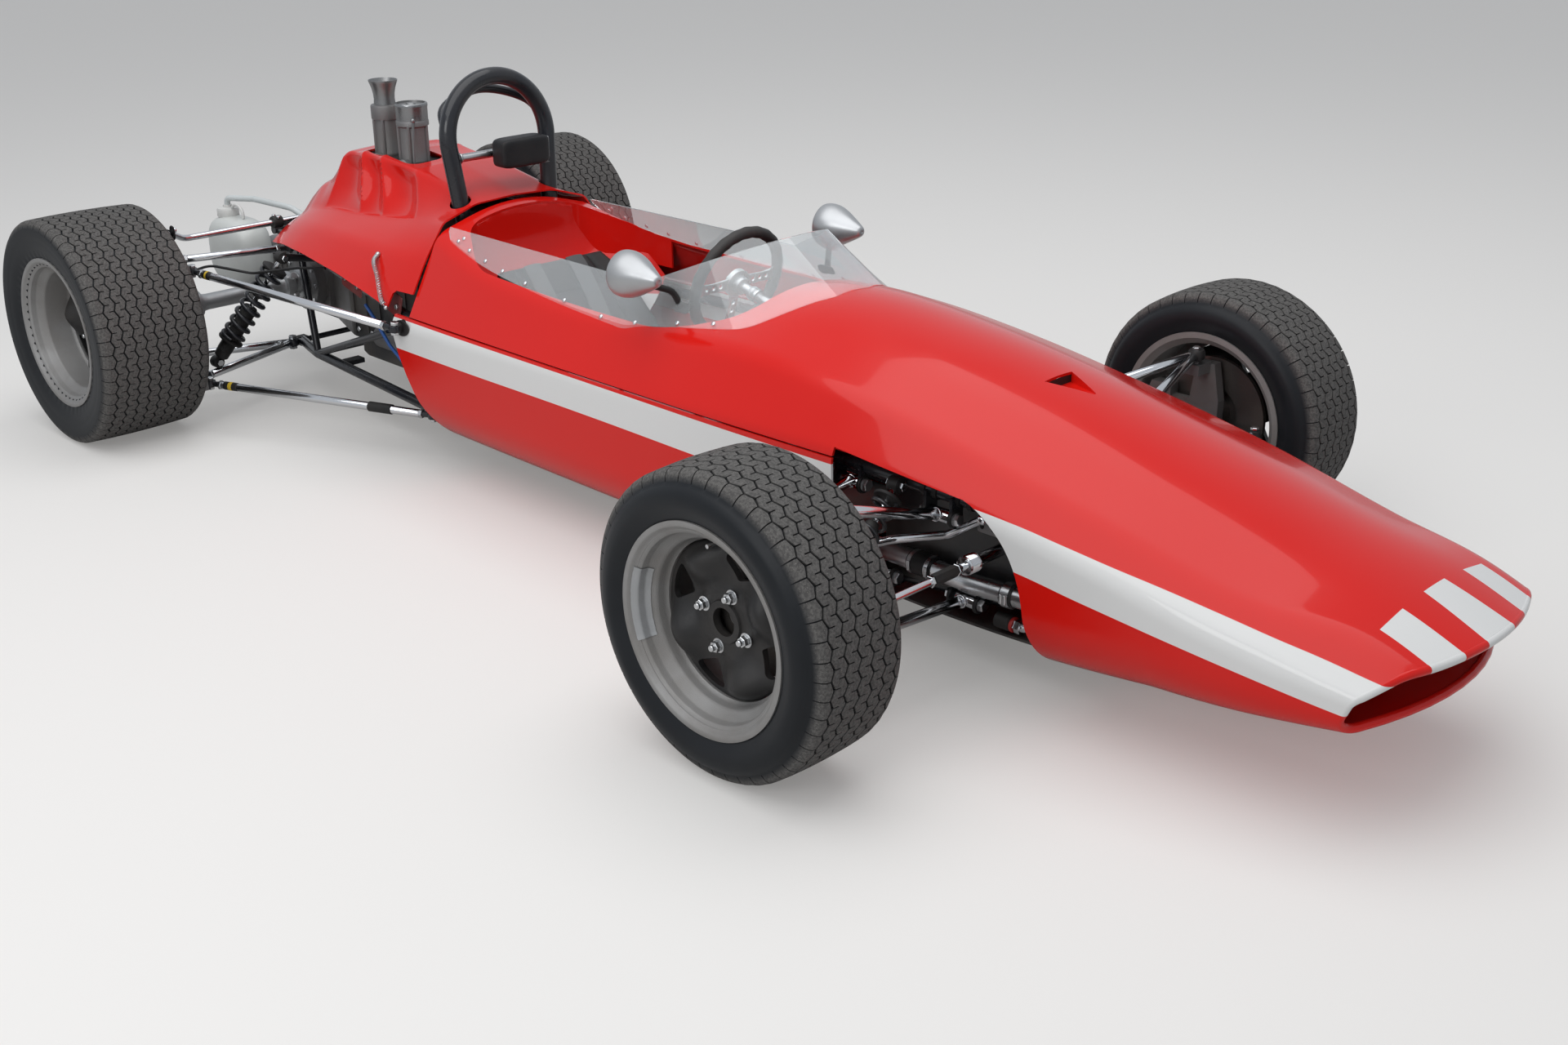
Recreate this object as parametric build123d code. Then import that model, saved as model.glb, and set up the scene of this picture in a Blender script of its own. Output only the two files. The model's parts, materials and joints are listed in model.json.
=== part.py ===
from build123d import *
from math import atan2, cos, radians, sin, tan
import os

# Open wheel racing car. X points ahead, Y to the car's left, Z up, in millimetres.
# The origin is on the ground, midway between the nose and the tail.

# Main lengths of the car
overall_length = 3580.0
front_overhang = 920.0
wheelbase = 2300.0
front_track = 1410.0
rear_track = 1355.0
nose_x = overall_length / 2
front_x = nose_x - front_overhang
rear_x = front_x - wheelbase
tail_x = -overall_length / 2
cover_joint_x = rear_x + 800.0

# Wheels: rim flange radius, then a radius, a rim width and a tread width for each axle
flange_r = 183.0
bead_r = 165.0
well_r = 147.0
rim_wall = 7.0
front_tyre_r = 264.0
rear_tyre_r = 276.0
front_rim_width = 200.0
rear_rim_width = 250.0
front_tread = 172.0
rear_tread = 258.0
tyre_bulge = 8.0
front_dish = 62.0
rear_dish = 104.0
plate_wall = 11.0
pad_r = 52.0
wheel_bore_r = 24.0
window_inner_r = 78.0
window_outer_r = 126.0
window_count = 4
window_turn = 19.0
bead_gap = 0.2

# Brakes and hubs, measured from the wheel's middle plane towards the car
disc_r = 122.0
disc_wall = 10.0
disc_inset = 50.0
hub_r = 40.0
spindle_r = 17.0
running_gap = 0.08
caliper_gap = 5.0

# Front uprights and the line that they steer about
kingpin_low = Vector(0.0, -98.0, -92.0)
kingpin_high = Vector(-6.0, -116.0, 121.0)
upright_wall = 24.0
rack_height = 270.0
rack_ahead = 142.0
rod_eye_inset = 118.0
rod_eye_r = 14.0
rod_eye_lift = 6.0
seat_gap = 0.3
weld = 1.2
ball_r = 15.0
stud = 5.0

# Body shell
body_wall = 5.0
panel_gap = 0.6
floor_half = 200.0
floor_z = 86.0
seam_front_z = 386.0
seam_slope = 0.008
bay_top = 402.0
panel_front_x = front_x - 168.0
nose_rear_x = front_x + 286.0
radiator_x = front_x + 560.0

# Frame tubes
frame_dia = 25.0
small_dia = 19.0
cross_dia = 15.0
tube_end = 12.0
arm_dia = 22.0
rod_dia = 20.0

# Steering wheel and column
wheel_ring_r = 115.0
grip_r = 12.0
column_r = 11.0
housing_dia = 46.0
wheel_hub = Vector(front_x - 752.0, 0.0, 532.0)
rack_x = front_x + rack_ahead
column_slope = (wheel_hub.Z - rack_height) / (rack_x - wheel_hub.X)


def x_at(place, offset):
    """X of a station, from the front axle or from the joint of the engine cover."""
    return (front_x if place == "axle" else cover_joint_x) + offset


def flip(shape):
    """The same piece on the other side of the car."""
    return shape.mirror(Plane.XZ)


def both(shape):
    """A piece and its twin on the other side."""
    return [shape, flip(shape)]


def rod(start, end, dia):
    """Straight round bar between two points."""
    run = Vector(*end) - Vector(*start)
    return extrude(Plane(origin=start, z_dir=run) * Circle(dia / 2), run.length)


def stretched(start, end, dia, extra):
    """Round bar that runs on past both of its points."""
    start, end = Vector(*start), Vector(*end)
    more = (end - start).normalized() * extra
    return rod(start - more, end + more, dia)


def bent(points, dia, radius, bore=0.0):
    """Round tube along straight runs joined by arcs."""
    path = FilletPolyline(*points, radius=radius)
    start = Plane(origin=path @ 0, z_dir=path % 0)
    tube = sweep(start * Circle(dia / 2), path=path)
    if bore:
        tube -= sweep(start * Circle(bore / 2), path=path)
    return tube


def joined(pieces):
    """Pieces fused into one."""
    whole = pieces[0]
    for piece in pieces[1:]:
        whole = whole + piece
    return whole


def largest(shape):
    """The largest solid of a cut, without its slivers."""
    return max(shape.solids(), key=lambda solid: solid.volume)


def bodies(*shapes):
    """Pieces that don't touch, kept together as one node."""
    return Compound(children=[solid for shape in shapes for solid in shape.solids()])


def block(x0, x1, y0, y1, z0, z1):
    """Box from its two corners."""
    size = (x1 - x0, y1 - y0, z1 - z0)
    return Pos((x0 + x1) / 2, (y0 + y1) / 2, (z0 + z1) / 2) * Box(*size)


def prism(points, y0, y1):
    """Side-view outline (x, z) drawn out between two values of y."""
    outline = make_face(Polyline(*[(x, y0, z) for x, z in points], close=True))
    return extrude(outline, amount=y1 - y0, dir=(0, 1, 0))


def lathe(points):
    """Profile of (radius, y) points turned about the Y axis."""
    return revolve(make_face(Polyline(*[(r, y, 0) for r, y in points], close=True)), Axis.Y)


def rounded(corners, place):
    """Closed wire of lines and arcs through corners (u, v, radius), put in space by place."""
    edges, last, first = [], None, None
    count = len(corners)
    for i, (u, v, radius) in enumerate(corners):
        here = Vector(u, v)
        back = (Vector(*corners[i - 1][:2]) - here).normalized()
        on = (Vector(*corners[(i + 1) % count][:2]) - here).normalized()
        turn = radians(180 - back.get_angle(on))
        reach = radius * tan(turn / 2)
        start, end = here + back * reach, here + on * reach
        middle = here + (back + on).normalized() * (radius / cos(turn / 2) - radius)
        if last is not None:
            edges.append(Edge.make_line(place(last), place(start)))
        else:
            first = start
        edges.append(Edge.make_three_point_arc(place(start), place(middle), place(end)))
        last = end
    edges.append(Edge.make_line(place(last), place(first)))
    return Wire(edges)


def inset(corners, depth):
    """The same corners with each side moved in by depth; the corners run anticlockwise."""
    moved, count = [], len(corners)
    for i, (u, v, radius) in enumerate(corners):
        here = Vector(u, v)
        a = (here - Vector(*corners[i - 1][:2])).normalized()
        b = (Vector(*corners[(i + 1) % count][:2]) - here).normalized()
        bisector = Vector(-a.Y - b.Y, a.X + b.X)
        shift = bisector * (2 * depth / bisector.length ** 2)
        moved.append((u + shift.X, v + shift.Y, max(radius - depth, 1.0)))
    return moved


def mirrored(half):
    """Full outline from the corners of the left half, listed from the bottom to the top."""
    return half + [(-u, v, r) for u, v, r in reversed(half) if u > 0]


# Sections of the body. Columns: station, its offset, floor height, belt half width,
# belt height, shoulder half width, shoulder height, crown height
body_table = [
    ("joint", -60.0, floor_z, 331.0, 350.0, 212.0, 568.0, 624.0),
    ("joint", 130.0, floor_z, 334.0, 356.0, 246.0, 520.0, 596.0),
    ("joint", 430.0, floor_z, 336.0, 366.0, 262.0, 496.0, 560.0),
    ("joint", 760.0, floor_z, 336.0, 376.0, 264.0, 494.0, 570.0),
    ("axle", -420.0, floor_z, 334.0, 388.0, 262.0, 504.0, 606.0),
    ("axle", -170.0, floor_z, 329.0, 390.0, 262.0, 482.0, 584.0),
    ("axle", 100.0, floor_z + 3, 322.0, 372.0, 262.0, 440.0, 540.0),
    ("axle", 380.0, 108.0, 312.0, 330.0, 258.0, 388.0, 473.0),
    ("axle", 620.0, 138.0, 297.0, 284.0, 244.0, 334.0, 408.0),
    ("axle", 800.0, 172.0, 272.0, 250.0, 208.0, 315.0, 352.0),
    ("axle", 960.0, 200.0, 240.0, 228.0, 196.0, 252.0, 290.0),
]
floor_r = 118.0
belt_r = 36.0
shoulder_r = 46.0


def body_corners(row):
    """Corners of one body section, from the floor up to the crown."""
    low_z, belt, belt_z, shoulder, shoulder_z, crown_z = row
    side = belt_z - low_z
    low_r, high_r = min(floor_r, 0.6 * side), min(belt_r, 0.34 * side)
    slope = atan2(crown_z - shoulder_z, shoulder)
    crown_r = 0.55 * shoulder / tan(slope)
    half = [
        (belt - 6.0, low_z, low_r),
        (belt, belt_z, high_r),
        (shoulder, shoulder_z, min(shoulder_r, 0.9 * side)),
        (0.0, crown_z, crown_r),
    ]
    return mirrored(half)


def body_form(depth):
    """Smooth body through its sections, with its surface moved in by depth."""
    wires = []
    for place, offset, *row in body_table:
        x = x_at(place, offset)
        corners = inset(body_corners(row), depth)
        wires.append(rounded(corners, lambda p, x=x: Vector(x, p.X, p.Y)))
    return Solid.make_loft(wires)


def nose_cutter():
    """What is cut off ahead of the lips: a bowed front that leans back towards the chin."""
    bow_r, lean = 565.0, 22.0
    keep = Cylinder(bow_r, 900.0).rotate(Axis.Y, lean)
    lip = Vector(nose_x, 0, 284.0)
    reach = bow_r / cos(radians(lean))
    keep = Pos(lip.X - reach, 0, lip.Z) * keep
    reach_x = nose_x + 400
    return (block(nose_x - 330, reach_x, -400, 400, 0, 500) - keep
            + block(nose_x, reach_x, -400, 400, 0, 500))


def seam_tool(above):
    """Half space above or below the seam between the upper body and the side panels."""
    lift = panel_gap / 2 if above else -panel_gap / 2
    ends = [(x, seam_front_z + lift + seam_slope * (x - panel_front_x))
            for x in (tail_x, nose_x)]
    far = 1400.0 if above else -600.0
    return prism([*ends, (nose_x, far), (tail_x, far)], -500, 500)


def wheel_bay():
    """Open bay for the front suspension, as a side view through both sides."""
    x0, x1 = panel_front_x, front_x + 256
    low, top, knee_x, heel_z = 40.0, bay_top, front_x + 120, 200.0
    knee_z, foot_x = top - 23, nose_rear_x
    path = [
        Line((x0, 0, low), (x0, 0, top)),
        Line((x0, 0, top), (knee_x, 0, knee_z)),
        ThreePointArc((knee_x, 0, knee_z), (front_x + 214, 0, 320), (x1, 0, heel_z)),
        Line((x1, 0, heel_z), (foot_x, 0, low)),
        Line((foot_x, 0, low), (x0, 0, low)),
    ]
    outline = make_face(Wire(path))
    side = extrude(outline, amount=260.0, dir=(0, 1, 0))
    return Pos(0, floor_half + panel_gap, 0) * side


def cockpit_corners(spread):
    """Plan of the cockpit opening, from the rear round the left side to the front."""
    rear, front = cover_joint_x + 30, front_x - 352
    half = [
        (rear, 158.0 + spread, 70.0),
        (rear + 150, 250.0 + spread, 160.0),
        (front_x - 660, 256.0 + spread, 250.0),
        (front + spread, 74.0 + spread, 90.0),
    ]
    left = [(x, y, r) for x, y, r in half]
    right = [(x, -y, r) for x, y, r in reversed(half)]
    return right + left


def cockpit_hole(spread, z0, z1):
    """Upright-sided hole with the cockpit's plan."""
    wire = rounded(cockpit_corners(spread), lambda p: Vector(p.X, p.Y, z0))
    return extrude(Face(wire), amount=z1 - z0, dir=(0, 0, 1))


def vent_wedge():
    """Small raised vent on the top of the nose, open to the rear."""
    x0, x1, z0, z1 = front_x + 40, front_x + 190, 488.0, 526.0
    top = prism([(x0, z0 - 30), (x0, z1), (x1, z0), (x1, z0 - 30)], -34, 34)
    plan = [(x0, -34), (x1, -8), (x1, 8), (x0, 34)]
    face = make_face(Polyline(*[(x, y, z0 - 60) for x, y in plan], close=True))
    wedge = top & extrude(face, amount=140, dir=(0, 0, 1))
    slot = block(x0 - 10, x0 + 90, -26, 26, z0 - 6, z1 - 6)
    return wedge - slot


def upper_body(shell, outer):
    """Nose, scuttle and cockpit surround in one piece."""
    above = seam_tool(True)
    nose = block(panel_front_x, nose_x + 200, -400, 400, 0, 700)
    whole = (shell & above) + (shell & nose)
    rear_cut = block(tail_x, cover_joint_x, -500, 500, 0, 900)
    band = cockpit_hole(body_wall, 430.0, 800.0) - cockpit_hole(0.0, 420.0, 810.0)
    band = band & block(cover_joint_x, cover_joint_x + 260, -400, 400, 430, 800)
    surround = band & outer
    whole = whole - cockpit_hole(0.0, 300.0, 800.0) + surround + (vent_wedge() - outer)
    return whole - rear_cut - wheel_bay() - flip(wheel_bay()) - nose_cutter() - floor_slot()


def floor_slot():
    """Room for the floor pan under the nose."""
    half = floor_half + panel_gap
    return block(tail_x, nose_rear_x, -half, half, 0, 160)


def side_panel(shell):
    """Left lower side panel, with its rear edge raked as the real one is."""
    keep = shell & seam_tool(False)
    keep = keep & block(tail_x, panel_front_x, floor_half + panel_gap, 500, 0, 500)
    x = cover_joint_x
    rake = prism([(x + 120, 60), (x + 20, 180), (x - 42, 270), (x - 58, 330), (x - 58, 420),
                  (nose_x, 460), (nose_x, 60)], 0, 500)
    return (keep & rake) - link_bracket(6.0)


def floor_pan(shell):
    """Flat floor from behind the seat to the front suspension, and the rising part ahead of it."""
    x0, x1, x2 = cover_joint_x - 20, panel_front_x, nose_rear_x - panel_gap
    flat = block(x0, x1, -floor_half, floor_half, floor_z, floor_z + body_wall)
    return flat + (shell & block(x1, x2, -floor_half, floor_half, 0, 160))


def bulkhead():
    """Plate between the seat and the engine."""
    x = cover_joint_x + 8
    return block(x, x + 4, -184, 184, floor_z + body_wall + seat_gap, 426)


# Sections of the engine cover, behind its joint. Columns: distance behind, edge half width,
# edge height, shelf half width, shelf height, foot half width, foot height, bulge half width,
# bulge height
cover_table = [
    (0.6, 332.0, 372.0, 264.0, 492.0, 206.0, 574.0, 112.0, 604.0),
    (130.0, 326.0, 404.0, 266.0, 494.0, 178.0, 552.0, 118.0, 648.0),
    (300.0, 312.0, 426.0, 256.0, 494.0, 172.0, 532.0, 122.0, 670.0),
    (480.0, 292.0, 440.0, 238.0, 490.0, 164.0, 518.0, 116.0, 664.0),
    (640.0, 268.0, 436.0, 216.0, 474.0, 150.0, 498.0, 96.0, 590.0),
    (760.0, 246.0, 424.0, 196.0, 452.0, 138.0, 468.0, 84.0, 506.0),
]
cover_edge_r = 10.0
cover_turn_r = 22.0


def cover_form(depth, drop):
    """Engine cover through its sections; drop lowers the open underside."""
    wires = []
    for back, edge, edge_z, shelf, shelf_z, foot, foot_z, bulge, bulge_z in cover_table:
        half = [
            (edge, edge_z, cover_edge_r),
            (shelf, shelf_z, cover_turn_r),
            (foot, foot_z, cover_turn_r),
            (bulge, bulge_z, cover_turn_r),
        ]
        corners = inset(mirrored(half), depth)
        low = min(v for _, v, _ in corners)
        corners = [(u, v - (drop if v == low else 0), r) for u, v, r in corners]
        x = cover_joint_x - back
        wires.append(rounded(corners, lambda p, x=x: Vector(x, p.X, p.Y)))
    return Solid.make_loft(wires)


def engine_cover():
    """Engine cover: an open-bottomed shell with a bulge that the carburettors pass through."""
    shell = cover_form(0.0, 0.0) - cover_form(body_wall, 60.0)
    x = carb_x
    hole = block(x - carb_reach, x + carb_reach, carb_y - 62, carb_y + 62, 560, 760)
    notch = block(cover_joint_x - 70, cover_joint_x, 270, 400, 340, 424)
    legs = [hoop_leg(s, hoop_dia + 10) for s in (1, -1)]
    return shell - hole - notch - flip(notch) - legs[0] - legs[1]


# Windscreen: plan of its foot at one height and of its top at another. Columns: x, y, radius
screen_wall = 3.0
screen_foot = [("joint", 24.0, 262.0, 60.0), ("axle", -760.0, 278.0, 300.0),
               ("axle", -420.0, 236.0, 120.0), ("axle", -262.0, 60.0, 56.0)]
screen_head = [("joint", 24.0, 186.0, 60.0), ("axle", -800.0, 196.0, 300.0),
               ("axle", -560.0, 166.0, 100.0), ("axle", -462.0, 46.0, 44.0)]
screen_foot_z = 470.0
screen_head_z = 600.0
screen_side_z = 568.0
screen_peak_z = 705.0


def screen_form(depth):
    """Solid cone between the foot and head plans, carried on to above the screen."""
    wires = []
    grow = (screen_peak_z + 40 - screen_foot_z) / (screen_head_z - screen_foot_z)
    foot = [(x_at(p, o), y, r) for p, o, y, r in screen_foot]
    head = [(x_at(p, o), y, r) for p, o, y, r in screen_head]
    top = [(a[0] + (b[0] - a[0]) * grow, a[1] + (b[1] - a[1]) * grow, max(b[2], 30.0))
           for a, b in zip(foot, head)]
    low = [(a[0] - (b[0] - a[0]) * 0.6, a[1] - (b[1] - a[1]) * 0.6, a[2])
           for a, b in zip(foot, head)]
    levels = [(low, screen_foot_z - 0.6 * (screen_head_z - screen_foot_z)),
              (top, screen_peak_z + 40)]
    for half, z in levels:
        full = [(x, -y, r) for x, y, r in half] + half[::-1]
        wires.append(rounded(inset(full, depth), lambda p, z=z: Vector(p.X, p.Y, z)))
    return Solid.make_loft(wires, True)


def windscreen(outer):
    """Clear wrap-round screen standing on the body, low beside the driver, high in front."""
    shell = screen_form(0.0) - screen_form(screen_wall)
    shell = shell - block(tail_x, cover_joint_x + 26, -400, 400, 300, 900)
    side, peak = screen_side_z, screen_peak_z
    x0, x1, x2 = cover_joint_x - 50, front_x - 790, front_x - 470
    over = prism([(x0, side), (x1, side), (x2, peak), (nose_x, peak + 30), (nose_x, 1000),
                  (x0, 1000)], -400, 400)
    return largest(shell - over - outer)


def dash_panel(room):
    """Instrument panel across the scuttle, standing on the frame, with room for the column."""
    x = front_x - 450
    low = rail_high_z + frame_dia / 2 + seat_gap
    panel = block(x, x + 6, -400, 400, low, 500) & room
    hole = rod((x - 60, 0, column_z(x - 60)), (x + 60, 0, column_z(x + 60)), 60.0)
    pod = rod((x - 46, -118, 462), (x, -118, 462), 92.0)
    return panel + pod - hole


def column_z(x):
    """Height of the steering column's axis at x."""
    return wheel_hub.Z - (x - wheel_hub.X) * column_slope


def seat():
    """Reclined seat shell with its raised sides."""
    x = cover_joint_x
    low = floor_z + body_wall + seat_gap
    back = [(x + 90, 476), (x + 112, 476), (x + 330, 190), (x + 560, 124), (x + 760, 168),
            (x + 760, 146), (x + 560, low), (x + 330, low + 34)]
    shell = prism(back, -172, 172)
    side = prism([(x + 112, 476), (x + 300, 380), (x + 470, 210), (x + 700, 175), (x + 560, low),
                  (x + 330, low + 34), (x + 90, 476)], 172, 188)
    return joined([shell, side, flip(side)])


# Roll hoop: its foot on the frame, its top leaning back
hoop_dia = 40.0
hoop_bend = 138.0
hoop_foot = Vector(cover_joint_x - 16, 108.0, 352.0 + cross_dia / 2 + seat_gap + 2.0)
hoop_top = Vector(cover_joint_x - 68, 152.0, 872.0)
cross_z = 700.0


def hoop_at(z):
    """The point of the hoop's left leg at one height."""
    return hoop_foot + (hoop_top - hoop_foot) * ((z - hoop_foot.Z) / (hoop_top.Z - hoop_foot.Z))


def hoop_leg(side, dia):
    """Straight lower leg of the hoop on one side."""
    foot, knee = [(p.X, side * p.Y, p.Z) for p in (hoop_foot, hoop_at(cross_z))]
    return rod(foot, knee, dia)


def roll_hoop():
    """Bent hoop behind the driver with its cross tube."""
    left = [hoop_foot, hoop_top]
    points = [(p.X, p.Y, p.Z) for p in left] + [(p.X, -p.Y, p.Z) for p in reversed(left)]
    hoop = bent(points, hoop_dia, hoop_bend)
    x, half, _ = hoop_at(cross_z)
    return joined([hoop, rod((x, -half, cross_z), (x, half, cross_z), small_dia)])


def headrest():
    """Padded box on the hoop's cross tube."""
    x = hoop_at(cross_z).X + small_dia / 2 + seat_gap
    box = block(x, x + 58, -38, 104, cross_z - 32, cross_z + 38)
    return fillet(box.edges().filter_by(Axis.Y), 10.0)


def mirrors():
    """Left bullet-shaped mirror on a stalk from the screen's side."""
    x, y, z = front_x - 725.0, 288.0, 604.0
    pod = [(0, -46), (44, -46), (47, -36), (44, 0), (33, 34), (18, 58), (8, 70), (0, 72)]
    shape = revolve(make_face(Polyline(*[(u, v, 0) for u, v in pod], close=True)), Axis.Y)
    shape = Pos(x, y, z) * shape.rotate(Axis.Z, -90)
    stalk = rod((x + 10, y - 30, z - 22), (x + 34, y - 84, z - 60), 9.0)
    return shape + (stalk - screen_form(0.0))


# Engine, gearbox and what they carry
engine_front_x = cover_joint_x - 70.0
engine_rear_x = rear_x + 218.0
engine_half = 140.0
engine_low, engine_top = 122.0, 560.0
carb_x = cover_joint_x - 381.0
carb_y = -50.0
carb_reach = 112.0


def engine_block():
    """Engine as one plain block, with its narrower cam cover on top."""
    low = block(engine_rear_x, engine_front_x, -engine_half, engine_half, engine_low, 470)
    head = block(engine_rear_x + 20, engine_front_x - 20, -105, 105, 470, engine_top)
    return low + head


def carburettors():
    """Two upright induction bodies on a common base, one open trumpet and one capped."""
    base_z = engine_top
    base = block(carb_x - 98, carb_x + 98, carb_y - 46, carb_y + 46, base_z, base_z + 26)
    xr, xf = carb_x - 64, carb_x + 64
    rear = joined([
        Pos(xr, carb_y, base_z + 90) * Cylinder(28, 140),
        Pos(xr, carb_y, base_z + 186) * Cylinder(22, 60),
        Pos(xr, carb_y, base_z + 152) * Cylinder(33, 16),
        Pos(xr, carb_y, base_z + 250) * Cone(22, 36, 72),
    ])
    rear = rear - Pos(xr, carb_y, base_z + 252) * Cone(17, 34, 76)
    front = joined([
        Pos(xf, carb_y, base_z + 110) * Cylinder(42, 180),
        Pos(xf, carb_y, base_z + 176) * Cylinder(45, 14),
        Pos(xf, carb_y, base_z + 212) * Cylinder(46, 26),
    ])
    return joined([base, rear, front])


def gearbox():
    """Bell housing, final drive case and gear case behind the rear axle line."""
    z = rear_tyre_r
    bell = Solid.make_loft([
        Wire.make_rect(236, 250, Plane((engine_rear_x, 0, z + 20), x_dir=(0, 1, 0), z_dir=(-1, 0, 0))),
        Wire.make_rect(170, 190, Plane((rear_x + 84, 0, z + 5), x_dir=(0, 1, 0), z_dir=(-1, 0, 0))),
    ], True)
    case = block(rear_x - 92, rear_x + 84, -100, 100, z - 98, z + 92)
    case = fillet(case.edges().filter_by(Axis.X), 34.0)
    cheeks = rod((rear_x, -128, z), (rear_x, 128, z), 150.0)
    gears = block(rear_x - 268, rear_x - 92, -gear_half, gear_half, z - 82, z + 70)
    gears = fillet(gears.edges().filter_by(Axis.X), 20.0)
    cap = block(rear_x - 296, rear_x - 268, -62, 62, z - 70, z + 58)
    return joined([bell, case, cheeks, gears, cap])


def exhaust():
    """Left-hand manifold with four stubs and one tail pipe low beside the gearbox."""
    z, y, low = 448.0, 214.0, 190.0
    front, rear = engine_front_x - 60, rear_x + 345
    step = (front - rear) / 3
    points = [
        (front + 30, y, z), (rear - 12, y, z), (rear_x + 284, 262, 380), (rear_x + 266, 264, 250),
        (rear_x + 196, 252, low), (tail_x, 252, low),
    ]
    pipe = bent(points, pipe_dia, 28.0)
    bore = rod((tail_x - 1, 252, low), (rear_x, 252, low), pipe_dia - 5)
    stubs = [rod((front - i * step, engine_half + seat_gap, z), (front - i * step, y, z), 36.0)
             for i in range(4)]
    return joined([pipe, *stubs]) - bore


def catch_tank():
    """Moulded bottle beside the gearbox, on a strap bracket."""
    x0, x1, y0, y1 = rear_x - 340, rear_x - 130, -232, -110
    bottle = block(x0, x1, y0, y1, 236, 420)
    bottle = fillet(bottle.edges(), 22.0)
    neck = Pos((x0 + x1) / 2 - 40, (y0 + y1) / 2, 430) * Cylinder(24, 44)
    strap = block(x0 + 84, x0 + 114, y1 - 4, -gear_half - seat_gap, 300, 318)
    return joined([bottle, neck, strap])


def radiator(room):
    """Cooling core behind the nose intake, on two feet."""
    x = radiator_x
    core = block(x, x + 46, -208, 208, 160, 314)
    feet = [block(x + 8, x + 38, s * 120 - 15, s * 120 + 15, 60, 170) & room for s in (1, -1)]
    return joined([core, *feet])


def water_pipe():
    """Left water pipe from the radiator back to the frame, whose tubes carry the water on."""
    end_x = frame_mid_x + small_dia / 2 + seat_gap
    points = [
        (radiator_x - seat_gap, 184, 202), (radiator_x - 90, 184, 202), (front_x + 330, 204, 188),
        (front_x + 60, 211, 174), (front_x - 120, 199, 172), (end_x, 199, 172),
    ]
    return bent(points, 38.0, 60.0, 34.0)


# Frame nodes of the left side: x, y, z
frame_mid_x = front_x - 300.0
rail_high_z = 370.0
rail_low_z = floor_z + body_wall + frame_dia / 2 + seat_gap
front_high = [(frame_mid_x, 258.0, 354.0), (front_x + 120.0, 236.0, 341.0),
              (front_x + 285.0, 170.0, 318.0)]
front_low = [(frame_mid_x, 178.0, rail_low_z + weld), (front_x + 285.0, 150.0, 150.0)]
rear_high = [(cover_joint_x - 16.0, 286.0, 352.0), (rear_x + 70.0, 166.0, 392.0)]
rear_low = [(cover_joint_x - 16.0, 238.0, 118.0), (rear_x + 160.0, 196.0, 126.0),
            (rear_x + 4.0, 150.0, 120.0)]
bar_seat = (rear_x + 12.0, 190.0, 430.0)
damper_horn = (rear_x + 200.0, 275.0, 402.0)
link_eye = (rear_high[0][0], 350.0, rear_high[0][2])
eye_r = 13.0
pipe_dia = 44.0
gear_half = 74.0


def along(line, x):
    """The point at x on a bar between two frame nodes."""
    (x0, y0, z0), (x1, y1, z1) = line
    share = (x - x0) / (x1 - x0)
    return (x, y0 + share * (y1 - y0), z0 + share * (z1 - z0))


def lugs(x, y, z, half, toward):
    """Two plates, one each side of a pivot boss, from a tube at toward down to the boss."""
    made = []
    for end in (-1, 1):
        at = x + end * (half + seat_gap)
        x0, x1 = sorted((at, at + end * 6))
        ty, tz = toward
        made.append(block(x0, x1, min(y, ty) - 10, max(y, ty) + 10, min(z, tz) - 10, max(z, tz) + 4))
    return made


def link_bracket(spread):
    """Left bracket from the frame out through the body's side to the radius rod."""
    x, y, z = link_eye
    return rod(rear_high[0], (x, y - eye_r - seat_gap + spread, z), arm_dia + spread)


def beside(line, x, reach):
    """Point at x on a bar, moved outwards until it stands reach away from the bar's axis."""
    (x0, y0, _), (x1, y1, _) = line
    _, y, z = along(line, x)
    slope = (y1 - y0) / (x1 - x0)
    return (x, y + reach * (1 + slope * slope) ** 0.5, z)


def frame_front():
    """Space frame round the driver's legs, ahead of the dash."""
    pieces = []
    for side in (1, -1):
        a, m, b = [(x, side * y, z) for x, y, z in front_high]
        c, d = [(x, side * y, z) for x, y, z in front_low]
        pieces += [bent([a, m, b], frame_dia, 90.0), stretched(c, d, frame_dia, tube_end)]
        pieces += [rod(a, c, small_dia), rod(b, d, small_dia), rod(m, d, small_dia)]
        for x, y, z in high_pivots:
            tube = along(front_high[:2], x)
            pieces += lugs(x, side * y, z, 26, (side * tube[1], tube[2]))
        for x, y, z in low_pivots:
            tube = along(front_low, x)
            pieces += lugs(x, side * y, z, 22, (side * tube[1], tube[2]))
        pieces += [Pos(*p) * Box(24, 24, 24) for p in (a, b)]
    for x, y, z in (front_high[0], front_high[2], *front_low, rack_tube()):
        pieces.append(rod((x, -y, z), (x, y, z), cross_dia))
    return joined(pieces)


def rack_tube():
    """End of the cross tube that carries the rack housing."""
    x, y, z = along(front_high[1:], rack_x)
    return x, y, z - 6


def frame_rail():
    """Left side of the frame beside the driver."""
    x0, x1 = cover_joint_x + 54, frame_mid_x - 28
    a, b = (x0, 300, 352), (x1, 300, rail_high_z)
    c, d = (x0, 206, rail_low_z), (x1, 206, rail_low_z)
    pieces = [stretched(a, b, frame_dia, tube_end), stretched(c, d, frame_dia, tube_end)]
    return joined([*pieces, rod(a, c, small_dia), rod(b, d, small_dia)])


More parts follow.
